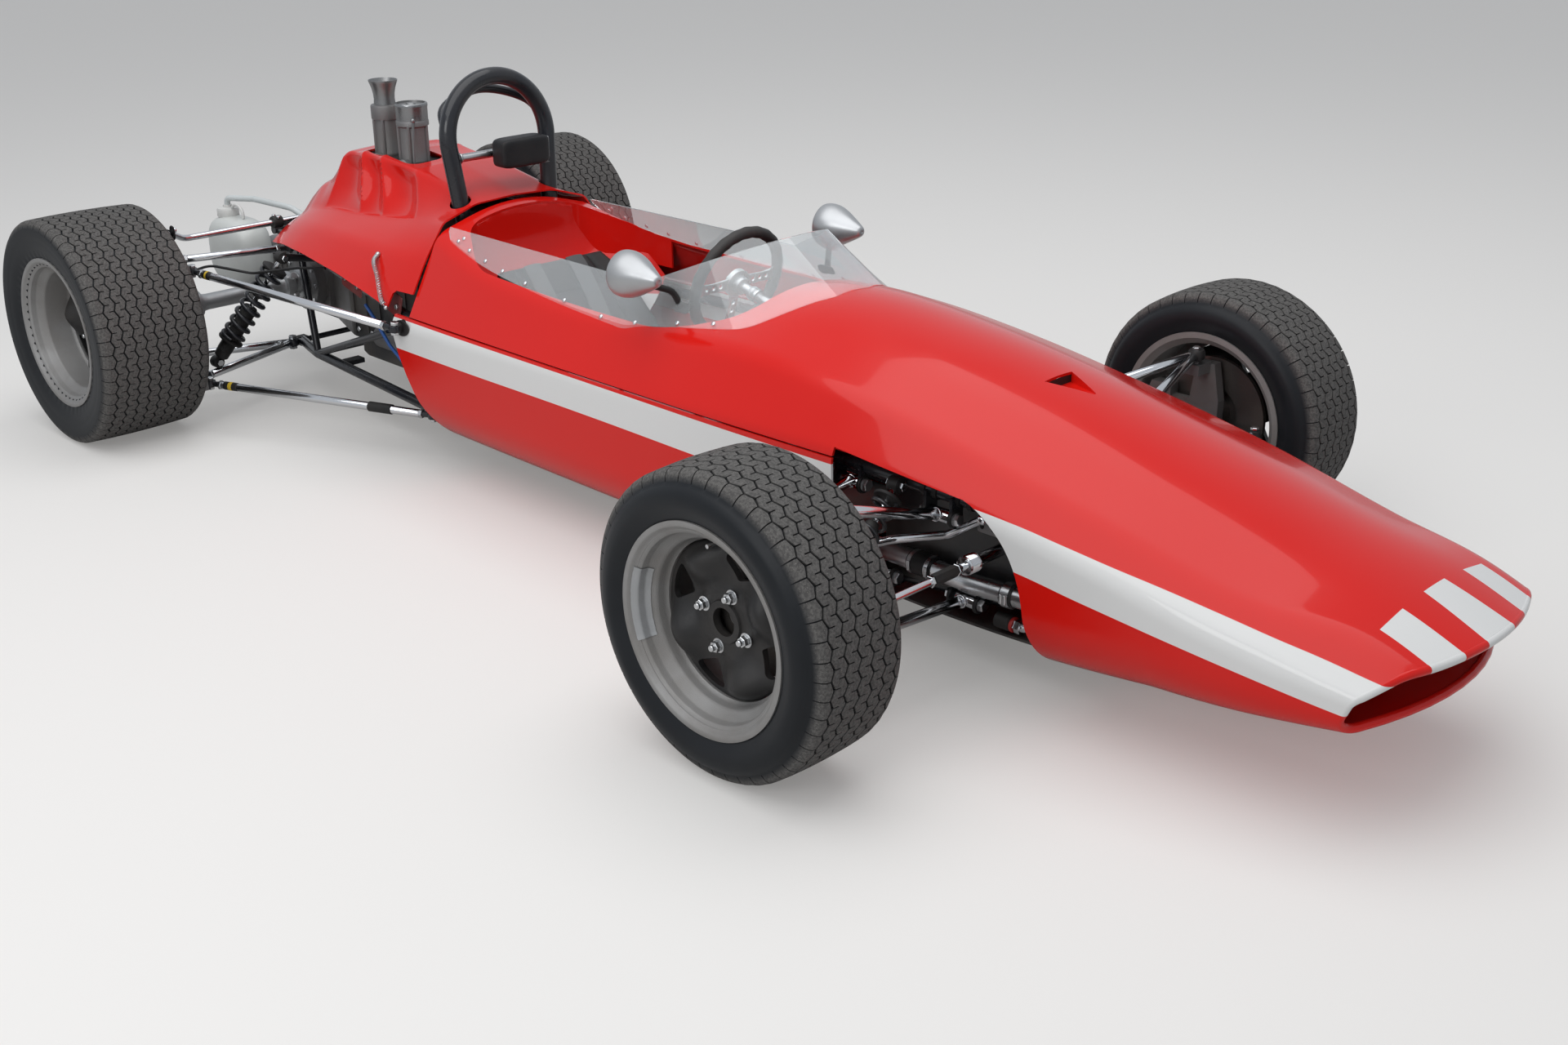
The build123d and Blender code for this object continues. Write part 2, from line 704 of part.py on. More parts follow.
def frame_rear():
    """Open frame round the engine and gearbox."""
    pieces = []
    for side in (1, -1):
        a, b = [(x, side * y, z) for x, y, z in rear_high]
        c, d, e = [(x, side * y, z) for x, y, z in rear_low]
        f = (bar_seat[0], side * bar_seat[1], bar_seat[2])
        horn = (damper_horn[0], side * damper_horn[1], damper_horn[2])
        root = along(rear_high, damper_horn[0])
        root = (root[0], side * root[1], root[2])
        pieces += [stretched(a, b, frame_dia, tube_end), bent([c, d, e], frame_dia, 90.0)]
        pieces += [stretched(a, c, arm_dia, 4.0), rod(b, d, small_dia), rod(a, d, small_dia)]
        pieces += [rod(b, f, small_dia), rod(root, horn, small_dia)]
        pieces += [Pos(*p) * Box(24, 24, 24) for p in (c, e)]
        for x in (engine_front_x - 60, engine_rear_x + 60):
            _, y, z = along(rear_low[:2], x)
            y0, y1 = sorted((side * (engine_half + seat_gap), side * y))
            pieces.append(block(x - 15, x + 15, y0, y1, z - 6, z + 6))
        bracket = link_bracket(0.0)
        pieces.append(bracket if side > 0 else flip(bracket))
    for x, y, z in (*rear_high, *rear_low):
        pieces.append(rod((x, -y, z), (x, y, z), cross_dia))
    x, y, z = bar_seat
    pieces.append(rod((x, -y - tube_end, z), (x, y + tube_end, z), arm_dia))
    return joined(pieces)


def wheel_frame(point, axle_x, track, radius, side):
    """A point given from the left wheel's centre, put on the car's left or right."""
    x, y, z = point
    return (axle_x + x, side * (track / 2 + y), radius + z)


def rim(width, dish):
    """Cast wheel: a barrel with its well outboard, and a windowed centre set into the dish."""
    half = width / 2
    plate = half - dish
    barrel = [
        (flange_r, half), (flange_r, half - 6), (bead_r, half - 9), (bead_r, half - 30),
        (well_r, half - 42), (well_r, plate - 8), (bead_r, plate - 26), (bead_r, 30 - half),
        (bead_r, 9 - half), (flange_r, 6 - half), (flange_r, -half),
        (bead_r + 6, -half), (bead_r - rim_wall, 12 - half), (bead_r - rim_wall, plate - 30),
        (well_r - rim_wall, plate - 12), (well_r - rim_wall, half - 40),
        (bead_r - rim_wall, half - 26), (bead_r - rim_wall, half - 10), (bead_r + 6, half),
    ]
    inner = plate - plate_wall
    centre = [
        (wheel_bore_r, plate + 4), (pad_r, plate + 4), (pad_r + 14, plate - 2),
        (102.0, plate + 12), (well_r - 3, plate - 2), (well_r - 3, inner - 2),
        (102.0, inner + 12), (pad_r + 14, inner - 4), (pad_r, inner - 8), (wheel_bore_r, inner - 8),
    ]
    wheel = lathe(barrel) + lathe(centre)
    for i in range(window_count):
        wheel = wheel - window_hole(i * 360 / window_count + window_turn, half)
    return wheel


def window_hole(angle, half):
    """One rounded three-cornered window through the wheel's centre."""
    a, b = window_inner_r, window_outer_r
    spread = 0.36
    corners = [(a, 0.0, 8.0), (b * cos(spread), -b * sin(spread), 14.0),
               (b * 1.04, 0.0, 40.0), (b * cos(spread), b * sin(spread), 14.0)]
    wire = rounded(corners, lambda p: Vector(p.X, -half, p.Y))
    return extrude(Face(wire), amount=2 * half, dir=(0, 1, 0)).rotate(Axis.Y, angle)


def tyre(radius, width, tread):
    """Low, square-shouldered racing tyre, closed on the bead seats."""
    half, seat = width / 2, bead_r + bead_gap
    t = tread / 2
    bulge = half + tyre_bulge
    side_r = (radius + flange_r) / 2 - 6
    lip, turn = flange_r + bead_gap, 7.0
    high, low = radius - 3.0, radius - 22.0
    profile = Wire([
        Line((seat, -half + 9.4, 0), (lip, -half + 6.4, 0)),
        Line((lip, -half + 6.4, 0), (lip, -half + 2, 0)),
        ThreePointArc((lip, -half + 2, 0), (side_r, -bulge, 0), (low, -t - turn, 0)),
        ThreePointArc((low, -t - turn, 0), (high - turn, -t, 0), (high, -t + turn, 0)),
        ThreePointArc((high, -t + turn, 0), (radius, 0, 0), (high, t - turn, 0)),
        ThreePointArc((high, t - turn, 0), (high - turn, t, 0), (low, t + turn, 0)),
        ThreePointArc((low, t + turn, 0), (side_r, bulge, 0), (lip, half - 2, 0)),
        Line((lip, half - 2, 0), (lip, half - 6.4, 0)),
        Line((lip, half - 6.4, 0), (seat, half - 9.4, 0)),
        Line((seat, half - 9.4, 0), (seat, -half + 9.4, 0)),
    ])
    return revolve(Face(profile), Axis.Y)


def disc(width, dish, bore):
    """Brake disc with its bell and the hub that the wheel bolts to."""
    seat = width / 2 - dish - plate_wall - 8
    ring = [
        (bore, seat), (hub_r, seat), (hub_r, -disc_inset + 30), (66, -disc_inset + 26),
        (66, -disc_inset + disc_wall), (disc_r, -disc_inset + disc_wall), (disc_r, -disc_inset),
        (60, -disc_inset), (60, -disc_inset + 20), (hub_r - 8, -disc_inset + 20),
        (hub_r - 8, -disc_inset - 4), (bore, -disc_inset - 4),
    ]
    return lathe(ring)


def caliper():
    """Brake caliper behind the hub, astride the disc with open room each side."""
    y0, y1 = -disc_inset, -disc_inset + disc_wall
    outer = disc_r + 18.0
    body = block(-outer, -disc_r + 40, y0 - 34, y1 + 24, -52, 52)
    slot = block(-disc_r - caliper_gap, 0, y0 - caliper_gap, y1 + caliper_gap, -60, 60)
    curve = lathe([(0, -200), (outer, -200), (outer, 200), (0, 200)])
    return (body & curve) - slot


def steering_arm(face):
    """Left steering arm, from the upright ahead and in to below the track rod's eye."""
    y, r = -rod_eye_inset, rod_eye_r
    top = rack_height - rod_eye_r - rod_eye_lift - front_tyre_r
    plan = [(16, face - 4), (16, face - upright_wall), (rack_ahead - r, y - r + 2),
            (rack_ahead + r - 2, y - r + 2), (rack_ahead + r - 2, y + r - 4), (rack_ahead - 30, face - 8)]
    outline = make_face(Polyline(*[(u, v, top - 14) for u, v in plan], close=True))
    return extrude(outline, amount=14, dir=(0, 0, 1))


def front_upright():
    """Left upright with spindle, ball joint eyes, steering arm and caliper, from the wheel centre."""
    low, high = kingpin_low, kingpin_high
    face = -disc_inset - 12
    spine = [(-26, -106), (26, -106), (34, -40), (34, 40), (18, 118), (-24, 118), (-34, 40),
             (-34, -40)]
    plate = prism(spine, face - upright_wall, face)
    end = front_rim_width / 2 - front_dish - plate_wall - 10
    spindle = rod((0, face, 0), (0, end, 0), 2 * spindle_r)
    inner = face - upright_wall
    low_eye = block(-18, 18, low.Y - 14, inner + 4, low.Z - 13, low.Z + 13)
    high_eye = block(high.X - 15, high.X + 15, high.Y - 14, inner + 4, high.Z - 21, high.Z + 1)
    run = (high - low).normalized()
    studs = [rod(high, high + run * (1 + stud), 12.0), rod(low, low - run * (13 + stud), 12.0)]
    mount = block(-disc_r + 30, -20, face - 14, face, -30, 30)
    return joined([plate, spindle, low_eye, high_eye, *studs, steering_arm(face), mount, caliper()])


def rear_upright():
    """Left rear upright with its forward link brackets, bearing housing and caliper."""
    face = -disc_inset - 12
    back = -148.0
    side = [(-40, -130), (-142, -146), (-142, -172), (172, -172), (172, -146), (62, -112),
            (52, 60), (160, 108), (160, 140), (40, 146), (-60, 128), (-46, 60)]
    plate = prism(side, back - 14, back)
    housing = rod((0, back, 0), (0, face, 0), 112.0)
    mount = block(-disc_r + 26, -20, face - 20, face, -30, 30)
    bore = rod((0, back - 40, 0), (0, 200, 0), 2 * (spindle_r + 1.5))
    return joined([plate, housing, mount, caliper()]) - bore


def driveshaft():
    """Left drive shaft from the final drive out through the upright, from the wheel centre."""
    inner = -rear_track / 2 + 128.3
    outer = rear_rim_width / 2 - rear_dish - plate_wall - 10
    shaft = rod((0, inner, 0), (0, outer, 0), 2 * spindle_r)
    cup = rod((0, inner, 0), (0, inner + 60, 0), 84.0)
    joint = rod((0, -230, 0), (0, -186, 0), 84.0)
    return joined([shaft, cup, joint])


# Front wishbone pivots on the left side of the frame: x, y, z
high_pivots = [(front_x + 24.0, 252.0, 308.0), (front_x - 184.0, 258.0, 318.0)]
low_pivots = [(front_x + 46.0, 200.0, 134.0), (front_x - 150.0, 206.0, 128.0)]


def front_balls():
    """Centres of the left wishbones' upper and lower ball joints."""
    run = (kingpin_high - kingpin_low).normalized()
    high = kingpin_high + run * (1 + stud + seat_gap + ball_r)
    low = kingpin_low - run * (13 + stud + seat_gap + ball_r)
    return [wheel_frame((p.X, p.Y, p.Z), front_x, front_track, front_tyre_r, 1) for p in (high, low)]


def front_arms():
    """Left upper and lower front wishbones, with their pivot bosses on the frame."""
    made = []
    sizes = ((high_pivots, 26, 34.0), (low_pivots, 22, 32.0))
    for ball, (pivots, half, boss) in zip(front_balls(), sizes):
        arm = [Pos(*ball) * Sphere(ball_r)]
        for x, y, z in pivots:
            arm.append(rod(ball, (x, y, z), arm_dia))
            arm.append(rod((x - half, y, z), (x + half, y, z), boss))
        made.append(joined(arm))
    return made


def coil_over(low, high, body_dia, coil_dia, turns):
    """Damper with its spring coils as a stack of rings."""
    low, high = Vector(*low), Vector(*high)
    run = high - low
    axis = run.normalized()
    length = run.length
    pieces = [rod(low, low + axis * length * 0.55, body_dia), rod(low, high, 14.0)]
    pieces += [Pos(low) * Sphere(ball_r), Pos(high) * Sphere(ball_r)]
    seat_low, seat_high = low + axis * length * 0.24, low + axis * length * 0.9
    pieces += [rod(seat_low, seat_low + axis * 7, coil_dia + 8)]
    pieces += [rod(seat_high, seat_high + axis * 7, coil_dia + 8)]
    pitch = (seat_high - seat_low).length / (turns + 1)
    for i in range(turns):
        middle = seat_low + axis * pitch * (i + 1)
        pieces.append(rod(middle - axis * 5, middle + axis * 5, coil_dia))
    pieces.append(rod(seat_low, seat_high, coil_dia - 18))
    return joined(pieces)


def toward(start, end, share):
    """Point part of the way from start to end."""
    return tuple(a + share * (b - a) for a, b in zip(start, end))


def raised(point, height):
    """The point lifted by height."""
    return (point[0], point[1], point[2] + height)


def front_damper():
    """Left front damper, from the lower wishbone's rear leg up to the frame's tube."""
    low = toward(front_balls()[1], low_pivots[1], 0.24)
    high = beside(front_high[:2], front_x - 62, frame_dia / 2 + ball_r + seat_gap)
    return coil_over(raised(low, arm_dia / 2 + ball_r + 0.6), high, 34.0, 50.0, 6)


def rear_points():
    """Left rear pick-ups: wishbone inner, front and rear ends, and the upper link's ends."""
    reach = -162 - arm_dia / 2 - weld - seat_gap
    def at(p):
        return wheel_frame(p, rear_x, rear_track, rear_tyre_r, 1)
    clear = frame_dia / 2 + ball_r + seat_gap
    inner = beside(rear_low[1:], rear_low[2][0], clear)
    top = beside(rear_high, rear_high[1][0], clear)
    return inner, at((112, reach, -158)), at((-128, reach, -158)), top, at((40, reach, 132))


def rear_arms():
    """Left reversed lower wishbone and upper link."""
    inner, front, back, top_in, top_out = rear_points()
    lower = joined([rod(inner, front, arm_dia), rod(inner, back, arm_dia),
                    Pos(*inner) * Sphere(ball_r), Pos(*front) * Sphere(arm_dia / 2 + weld),
                    Pos(*back) * Sphere(arm_dia / 2 + weld)])
    upper = joined([rod(top_in, top_out, rod_dia), Pos(*top_in) * Sphere(ball_r),
                    Pos(*top_out) * Sphere(rod_dia / 2 + weld)])
    return lower, upper


def rear_damper():
    """Left rear damper, from the lower wishbone up to the frame's horn."""
    inner, front = rear_points()[:2]
    low = raised(toward(inner, front, 0.82), arm_dia / 2 + ball_r + 0.6)
    x, y, z = damper_horn
    return coil_over(low, (x, y + ball_r + 1.0, z + 3), 38.0, 62.0, 7)


def radius_arms():
    """Left upper and lower radius rods from the frame to the rear upright."""
    reach = -162 - rod_dia / 2 - weld - seat_gap
    def at(p):
        return wheel_frame(p, rear_x, rear_track, rear_tyre_r, 1)
    x, y, z = rear_low[0]
    low_eye = (x, y + 28.8, z + 4.6)
    made = []
    for start, end in ((link_eye, at((144, reach, 124))), (low_eye, at((160, reach, -160)))):
        made.append(joined([rod(start, end, rod_dia), Pos(*start) * Sphere(eye_r),
                            Pos(*end) * Sphere(rod_dia / 2 + weld)]))
    return made


def anti_roll_bar():
    """Bar across the top of the rear frame, bent out to its drop links."""
    bar_r, link_r = 8.0, 6.0
    y = rear_track / 2 - 162 - link_r - seat_gap
    z = bar_seat[2] + arm_dia / 2 + seat_gap + bar_r
    x = bar_seat[0]
    points = [(x + 48, -y, z + 32), (x, -y + 60, z), (x, y - 60, z), (x + 48, y, z + 32)]
    bar = bent(points, 2 * bar_r, 28.0)
    drops = [rod((x + 46, s * y, z + 34), (x + 46, s * y, z - 46), 2 * link_r) for s in (1, -1)]
    return joined([bar, *drops])


def steering_rack():
    """Rack bar with both track rods out to the steering arms."""
    x, z = rack_x, rack_height
    end_y = front_track / 2 - rod_eye_inset
    pieces = [rod((x, -300, z), (x, 300, z), 22.0)]
    for side in (1, -1):
        pieces.append(rod((x, side * 296, z), (x, side * end_y, z), 14.0))
        pieces.append(rod((x, side * 330, z), (x, side * 400, z), 22.0))
        pieces.append(Pos(x, side * end_y, z - 2) * Cylinder(rod_eye_r, 2 * rod_eye_r - 4))
    return joined(pieces)


def rack_housing():
    """Tube that the rack slides in, hung from the frame's cross tube."""
    x, _, top = rack_tube()
    half = 196.0
    tube = rod((x, -half, rack_height), (x, half, rack_height), housing_dia)
    feet = [block(x - 18, x + 18, s * 150 - 14, s * 150 + 14, rack_height + 10,
                  top - cross_dia / 2 - seat_gap) for s in (1, -1)]
    bore = rod((x, -300, rack_height), (x, 300, rack_height), 22.6)
    return joined([tube, *feet]) - bore


def steering_column():
    """Column from the wheel's boss down to the rack housing."""
    run = (Vector(rack_x, 0, rack_height) - wheel_hub).normalized()
    start = wheel_hub + run * 12
    end = Vector(rack_x, 0, rack_height) - run * (housing_dia / 2 + 0.5)
    return rod(start, end, 2 * column_r)


def steering_wheel():
    """Three-spoked wheel with a thick grip, square to the column."""
    plane = Plane(origin=wheel_hub, x_dir=(0, 1, 0), z_dir=(1, 0, -column_slope))
    ring = Torus(wheel_ring_r, grip_r)
    boss = Cylinder(30, 16)
    spokes = [Box(wheel_ring_r, 26, 5, align=(Align.MIN, Align.CENTER, Align.CENTER)).rotate(Axis.Z, a)
              for a in (0, 180, -90)]
    socket = Pos(0, 0, 14) * Cylinder(column_r + 8, 14)
    whole = joined([ring, boss, *spokes])
    column = rod((0, 0, 12), (0, 0, 80), 2 * column_r + 0.02)
    return plane.location * (whole - column)


def place_wheel(shape, axle_x, track, radius, side):
    """Turn a left wheel's piece into the piece of one corner."""
    made = Pos(axle_x, track / 2, radius) * shape
    return made if side == "left" else flip(made)


def main():
    os.makedirs("parts", exist_ok=True)
    outer = body_form(0.0)
    shell = outer - body_form(body_wall)
    room = body_form(body_wall + seat_gap)
    panel, rail = side_panel(shell), frame_rail()
    nodes = {
        "upper_body": upper_body(shell, outer),
        "side_panel_left": panel,
        "side_panel_right": flip(panel),
        "floor_pan": floor_pan(shell),
        "bulkhead": bulkhead(),
        "engine_cover": engine_cover(),
        "windscreen": windscreen(outer),
        "dash_panel": dash_panel(room),
        "seat": seat(),
        "roll_hoop": roll_hoop(),
        "headrest": headrest(),
        "mirrors": bodies(*both(mirrors())),
        "engine_block": engine_block(),
        "carburettors": carburettors(),
        "gearbox": gearbox(),
        "exhaust": exhaust(),
        "catch_tank": catch_tank(),
        "radiator": radiator(room),
        "water_pipes": bodies(*both(water_pipe())),
        "frame_front": frame_front(),
        "frame_rail_left": rail,
        "frame_rail_right": flip(rail),
        "frame_rear": frame_rear(),
        "front_wishbones": bodies(*[s for arm in front_arms() for s in both(arm)]),
        "rear_wishbones": bodies(*[s for arm in rear_arms() for s in both(arm)]),
        "radius_rods": bodies(*[s for arm in radius_arms() for s in both(arm)]),
        "front_dampers": bodies(*both(front_damper())),
        "rear_dampers": bodies(*both(rear_damper())),
        "anti_roll_bar": anti_roll_bar(),
        "steering_rack": steering_rack(),
        "rack_housing": rack_housing(),
        "steering_column": steering_column(),
        "steering_wheel": steering_wheel(),
    }
    axles = [
        ("front", front_x, front_track, front_tyre_r, front_rim_width, front_tread, front_dish,
         spindle_r + running_gap),
        ("rear", rear_x, rear_track, rear_tyre_r, rear_rim_width, rear_tread, rear_dish,
         spindle_r),
    ]
    for name, x, track, radius, width, tread, dish, bore in axles:
        pieces = {
            "rim": rim(width, dish),
            "tyre": tyre(radius, width, tread),
            "disc": disc(width, dish, bore),
        }
        for side in ("left", "right"):
            for piece, shape in pieces.items():
                nodes[f"{name}_{side}_{piece}"] = place_wheel(shape, x, track, radius, side)
    upright, half_shaft = front_upright(), driveshaft()
    front, rear = (front_x, front_track, front_tyre_r), (rear_x, rear_track, rear_tyre_r)
    for side in ("left", "right"):
        nodes[f"front_upright_{side}"] = place_wheel(upright, *front, side)
        nodes[f"driveshaft_{side}"] = place_wheel(half_shaft, *rear, side)
    nodes["rear_uprights"] = bodies(*both(place_wheel(rear_upright(), *rear, "left")))
    for name, shape in nodes.items():
        export_step(shape, f"parts/{name}.step")


main()
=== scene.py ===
import json
import math
import bmesh
import bpy
import numpy as np
from mathutils import Matrix


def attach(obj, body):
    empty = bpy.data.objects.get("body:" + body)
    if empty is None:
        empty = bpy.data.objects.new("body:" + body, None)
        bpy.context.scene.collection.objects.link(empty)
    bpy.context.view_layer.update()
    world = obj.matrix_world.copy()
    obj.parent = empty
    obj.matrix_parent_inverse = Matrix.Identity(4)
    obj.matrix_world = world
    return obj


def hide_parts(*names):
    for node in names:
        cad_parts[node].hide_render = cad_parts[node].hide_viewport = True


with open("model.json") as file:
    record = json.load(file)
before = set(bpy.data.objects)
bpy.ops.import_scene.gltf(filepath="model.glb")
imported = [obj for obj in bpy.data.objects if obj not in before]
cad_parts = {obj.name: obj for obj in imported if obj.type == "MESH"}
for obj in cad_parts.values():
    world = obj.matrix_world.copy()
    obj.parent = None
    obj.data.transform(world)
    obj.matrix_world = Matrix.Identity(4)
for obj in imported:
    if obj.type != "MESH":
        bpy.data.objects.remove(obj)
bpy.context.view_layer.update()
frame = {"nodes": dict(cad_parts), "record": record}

# X points ahead, Y to the car's left, Z up, in metres
frontX, rearX, coverX = 0.87, -1.43, -0.63
frontTrack, rearTrack = 1.41, 1.355
frontRadius, rearRadius = 0.264, 0.276
ahead, leftward, upward = (1, 0, 0), (0, 1, 0), (0, 0, 1)


# A form is a pair: points (n, 3) and faces (m, 4), where a last corner of -1 makes a triangle
def arr(values):
    return np.asarray(values, float)


def unit(v):
    # the same directions, each of length one
    return arr(v) / np.linalg.norm(v, axis=-1, keepdims=True)


def parabola(a, b, c, s):
    # from a at s = 0 to c at s = 1, drawn towards b
    return (1 - s) ** 2 * a + 2 * s * (1 - s) * b + s ** 2 * c


def angles(count):
    return np.linspace(0, 2 * math.pi, count, endpoint=False)


def circle(a, u, v):
    # unit circle through the directions u and v, at one angle or many
    return np.cos(a)[..., None] * u + np.sin(a)[..., None] * v


def merge(forms):
    # one form from many, with each face list moved on by the points before it
    points, faces, count = [], [], 0
    for v, f in forms:
        points.append(v)
        faces.append(np.where(f < 0, -1, f + count))
        count += len(v)
    return np.vstack(points), np.vstack(faces)


def mirrorY(form):
    # the other side: y changes sign and each face runs the other way
    v, f = form
    flipped = f[:, [1, 0, 3, 2]].copy()
    tri = f[:, 3] < 0
    flipped[tri] = f[tri][:, [1, 0, 2, 3]]
    return v * [1, -1, 1], flipped


def both(form):
    # a form or a list of forms with its other side
    form = merge(form) if isinstance(form, list) else form
    return merge([form, mirrorY(form)])


def gridForm(p, closeU=False, closeV=False):
    # p is (rows, columns, 3); each four neighbours make a face
    n, m = p.shape[:2]
    i = np.arange(n if closeU else n - 1)[:, None]
    j = np.arange(m if closeV else m - 1)[None, :]
    a, b = i * m + j, ((i + 1) % n) * m + j
    c, d = ((i + 1) % n) * m + (j + 1) % m, i * m + (j + 1) % m
    return p.reshape(-1, 3), np.stack([x.ravel() for x in np.broadcast_arrays(a, b, c, d)], 1)


def capForm(ring):
    # fan from a ring's middle
    n = len(ring)
    i = np.arange(n)
    faces = np.stack([i, (i + 1) % n, np.full(n, n), np.full(n, -1)], 1)
    return np.vstack([ring, ring.mean(0)]), faces


def axisFrame(axis):
    # two directions square to an axis
    w = unit(axis)
    u = unit(np.cross(upward if abs(w[2]) < 0.9 else ahead, w))
    return u, np.cross(w, u), w


def pathFrames(p, closed=False):
    # directions square to a path, carried along it without twist
    if closed:
        t = np.roll(p, -1, 0) - np.roll(p, 1, 0)
    else:
        t = np.gradient(p, axis=0)
    t = unit(t)
    u = np.zeros_like(p)
    u[0] = axisFrame(t[0])[0]
    for i in range(1, len(p)):
        u[i] = unit(u[i - 1] - t[i] * (u[i - 1] @ t[i]))
    return u, np.cross(t, u)


def tubeForm(points, radius, sides=14, closed=False):
    # rings of a radius about a path; an open one gets a fan at each end
    p = arr(points)
    u, v = pathFrames(p, closed)
    r = np.broadcast_to(arr(radius), (len(p),))[:, None, None]
    grid = p[:, None] + r * circle(angles(sides), u[:, None], v[:, None])
    forms = [gridForm(grid, closeU=closed, closeV=True)]
    if not closed:
        forms += [capForm(grid[0]), capForm(grid[-1][::-1])]
    return merge(forms)


def rounded(points, radius, steps=6):
    # a run of corners with an arc of points in place of each inner corner
    p = arr(points)
    out = [p[0]]
    for a, b, c in zip(p[:-2], p[1:-1], p[2:]):
        back, on = unit(a - b), unit(c - b)
        turn = math.pi - math.acos(np.clip(back @ on, -1, 1))
        reach = min(radius * math.tan(turn / 2), 0.48 * min(np.linalg.norm(a - b), np.linalg.norm(c - b)))
        s = np.linspace(0, 1, steps)[:, None]
        out.extend(parabola(b + back * reach, b, b + on * reach, s))
    return np.vstack([out, p[-1:]])


def latheForm(profile, origin, axis, sides=48, phase=0.0, wrap=False):
    # profile of (radius, distance along the axis) turned about the axis
    u, v, w = axisFrame(axis)
    q = arr(profile)
    ring = circle(phase + angles(sides), u, v)
    grid = arr(origin) + q[None, :, :1] * ring[:, None] + q[None, :, 1:] * w
    forms = [gridForm(grid, closeU=True, closeV=wrap)]
    if not wrap:
        forms += [capForm(grid[:, k]) for k in (0, -1) if q[k, 0] > 1e-6]
    return merge(forms)


def turnedForm(profile, origin, axis, sides=48):
    # the same with the profile in millimetres
    return latheForm(arr(profile) / 1000, origin, axis, sides)


def rodForm(a, b, radius, sides=14, bevel=0.15):
    # round bar with a small bevel at each end
    a, b = arr(a), arr(b)
    length = np.linalg.norm(b - a)
    c = radius * bevel
    profile = [(radius - c, 0), (radius, c), (radius, length - c), (radius - c, length)]
    return latheForm(profile, a, b - a, sides)


def ballForm(centre, radius, axis=upward, sides=20):
    a = np.linspace(-math.pi / 2, math.pi / 2, 11)
    return latheForm(np.stack([radius * np.cos(a), radius * np.sin(a)], 1), centre, axis, sides)


def hexForm(origin, axis, flats, length, phase=0.0):
    # hexagonal nut or bolt head with a turned top edge
    r = flats / math.sqrt(3)
    c = 0.1 * r
    return latheForm([(r - c, 0), (r, c), (r, length - c), (r - c, length)], origin, axis, 6, phase)


def slabForm(outline, origin, u, v, thick, bevel=0.0015):
    # outline of (u, v) points drawn out both ways by half its thickness, its edges bevelled
    q, u, v = arr(outline), arr(u), arr(v)
    w = np.cross(u, v)
    middle = q.mean(0)
    reach = np.linalg.norm(q - middle, axis=1).mean()
    small = middle + (q - middle) * (1 - bevel / reach)
    h = thick / 2
    levels = [(small, -h), (q, bevel - h), (q, h - bevel), (small, h)]
    grid = np.stack([arr(origin) + s[:, :1] * u + s[:, 1:] * v + z * w for s, z in levels])
    return merge([gridForm(grid, closeV=True), capForm(grid[0]), capForm(grid[-1])])


def plateForm(w, h, r, *place):
    # slab on a rectangle with round corners
    return slabForm(roundedRect(w, h, r), *place)


def roundedRect(w, h, r, steps=5):
    a = np.linspace(0, math.pi / 2, steps)
    parts = []
    for k, (sx, sy) in enumerate(((1, 1), (-1, 1), (-1, -1), (1, -1))):
        c = arr([sx * (w / 2 - r), sy * (h / 2 - r)])
        parts.append(c + r * np.stack([np.cos(a + k * math.pi / 2), np.sin(a + k * math.pi / 2)], 1))
    return np.vstack(parts)


def smoothRows(knots, rows, at):
    # cubic curve through the rows of a table, with slopes from their neighbours
    k, y = arr(knots), arr(rows)
    d = np.gradient(y, k, axis=0)
    i = np.clip(np.searchsorted(k, at) - 1, 0, len(k) - 2)
    h = (k[i + 1] - k[i])[:, None]
    t = ((at - k[i])[:, None]) / h
    a, b = 2 * t ** 3 - 3 * t ** 2 + 1, t ** 3 - 2 * t ** 2 + t
    c, e = 3 * t ** 2 - 2 * t ** 3, t ** 3 - t ** 2
    return a * y[i] + b * h * d[i] + c * y[i + 1] + e * h * d[i + 1]


def meshData(name, form, angle=35.0):
    # a mesh of a form, with outward normals, smooth apart from edges sharper than the angle
    v, f = form
    mesh = bpy.data.meshes.new(name)
    loops = f[f >= 0]
    counts = np.where(f[:, 3] < 0, 3, 4)
    mesh.vertices.add(len(v))
    mesh.vertices.foreach_set("co", v.ravel())
    mesh.loops.add(len(loops))
    mesh.loops.foreach_set("vertex_index", loops.astype(np.int32))
    mesh.polygons.add(len(f))
    mesh.polygons.foreach_set("loop_start", (np.cumsum(counts) - counts).astype(np.int32))
    mesh.update(calc_edges=True)
    mesh.validate()
    tidyMesh(mesh, angle)
    return mesh


def tidyMesh(mesh, angle):
    # joins doubled points, turns faces outwards and marks sharp edges
    work = bmesh.new()
    work.from_mesh(mesh)
    bmesh.ops.remove_doubles(work, verts=work.verts, dist=1e-6)
    bmesh.ops.dissolve_degenerate(work, edges=work.edges, dist=1e-7)
    bmesh.ops.recalc_face_normals(work, faces=work.faces)
    work.to_mesh(mesh)
    work.free()
    mesh.shade_smooth()
    mesh.set_sharp_from_angle(angle=math.radians(angle))


def mirrorMesh(mesh):
    other = mesh.copy()
    other.transform(Matrix.Diagonal((1, -1, 1, 1)))
    return other


def linked(name, data):
    obj = bpy.data.objects.new(name, data)
    bpy.context.scene.collection.objects.link(obj)
    return obj


def piece(name, shape, material, body="chassis", replaces=(), angle=35.0):
    # a finished piece on a body, from a mesh, a form or a list of forms
    if isinstance(shape, bpy.types.Mesh):
        mesh = shape
        mesh.materials.clear()
        tidyMesh(mesh, angle)
    else:
        mesh = meshData(name, merge(shape) if isinstance(shape, list) else shape, angle)
    mesh.materials.append(materials[material])
    obj = linked(name, mesh)
    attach(obj, body)
    if replaces:
        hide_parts(*replaces)
    return obj


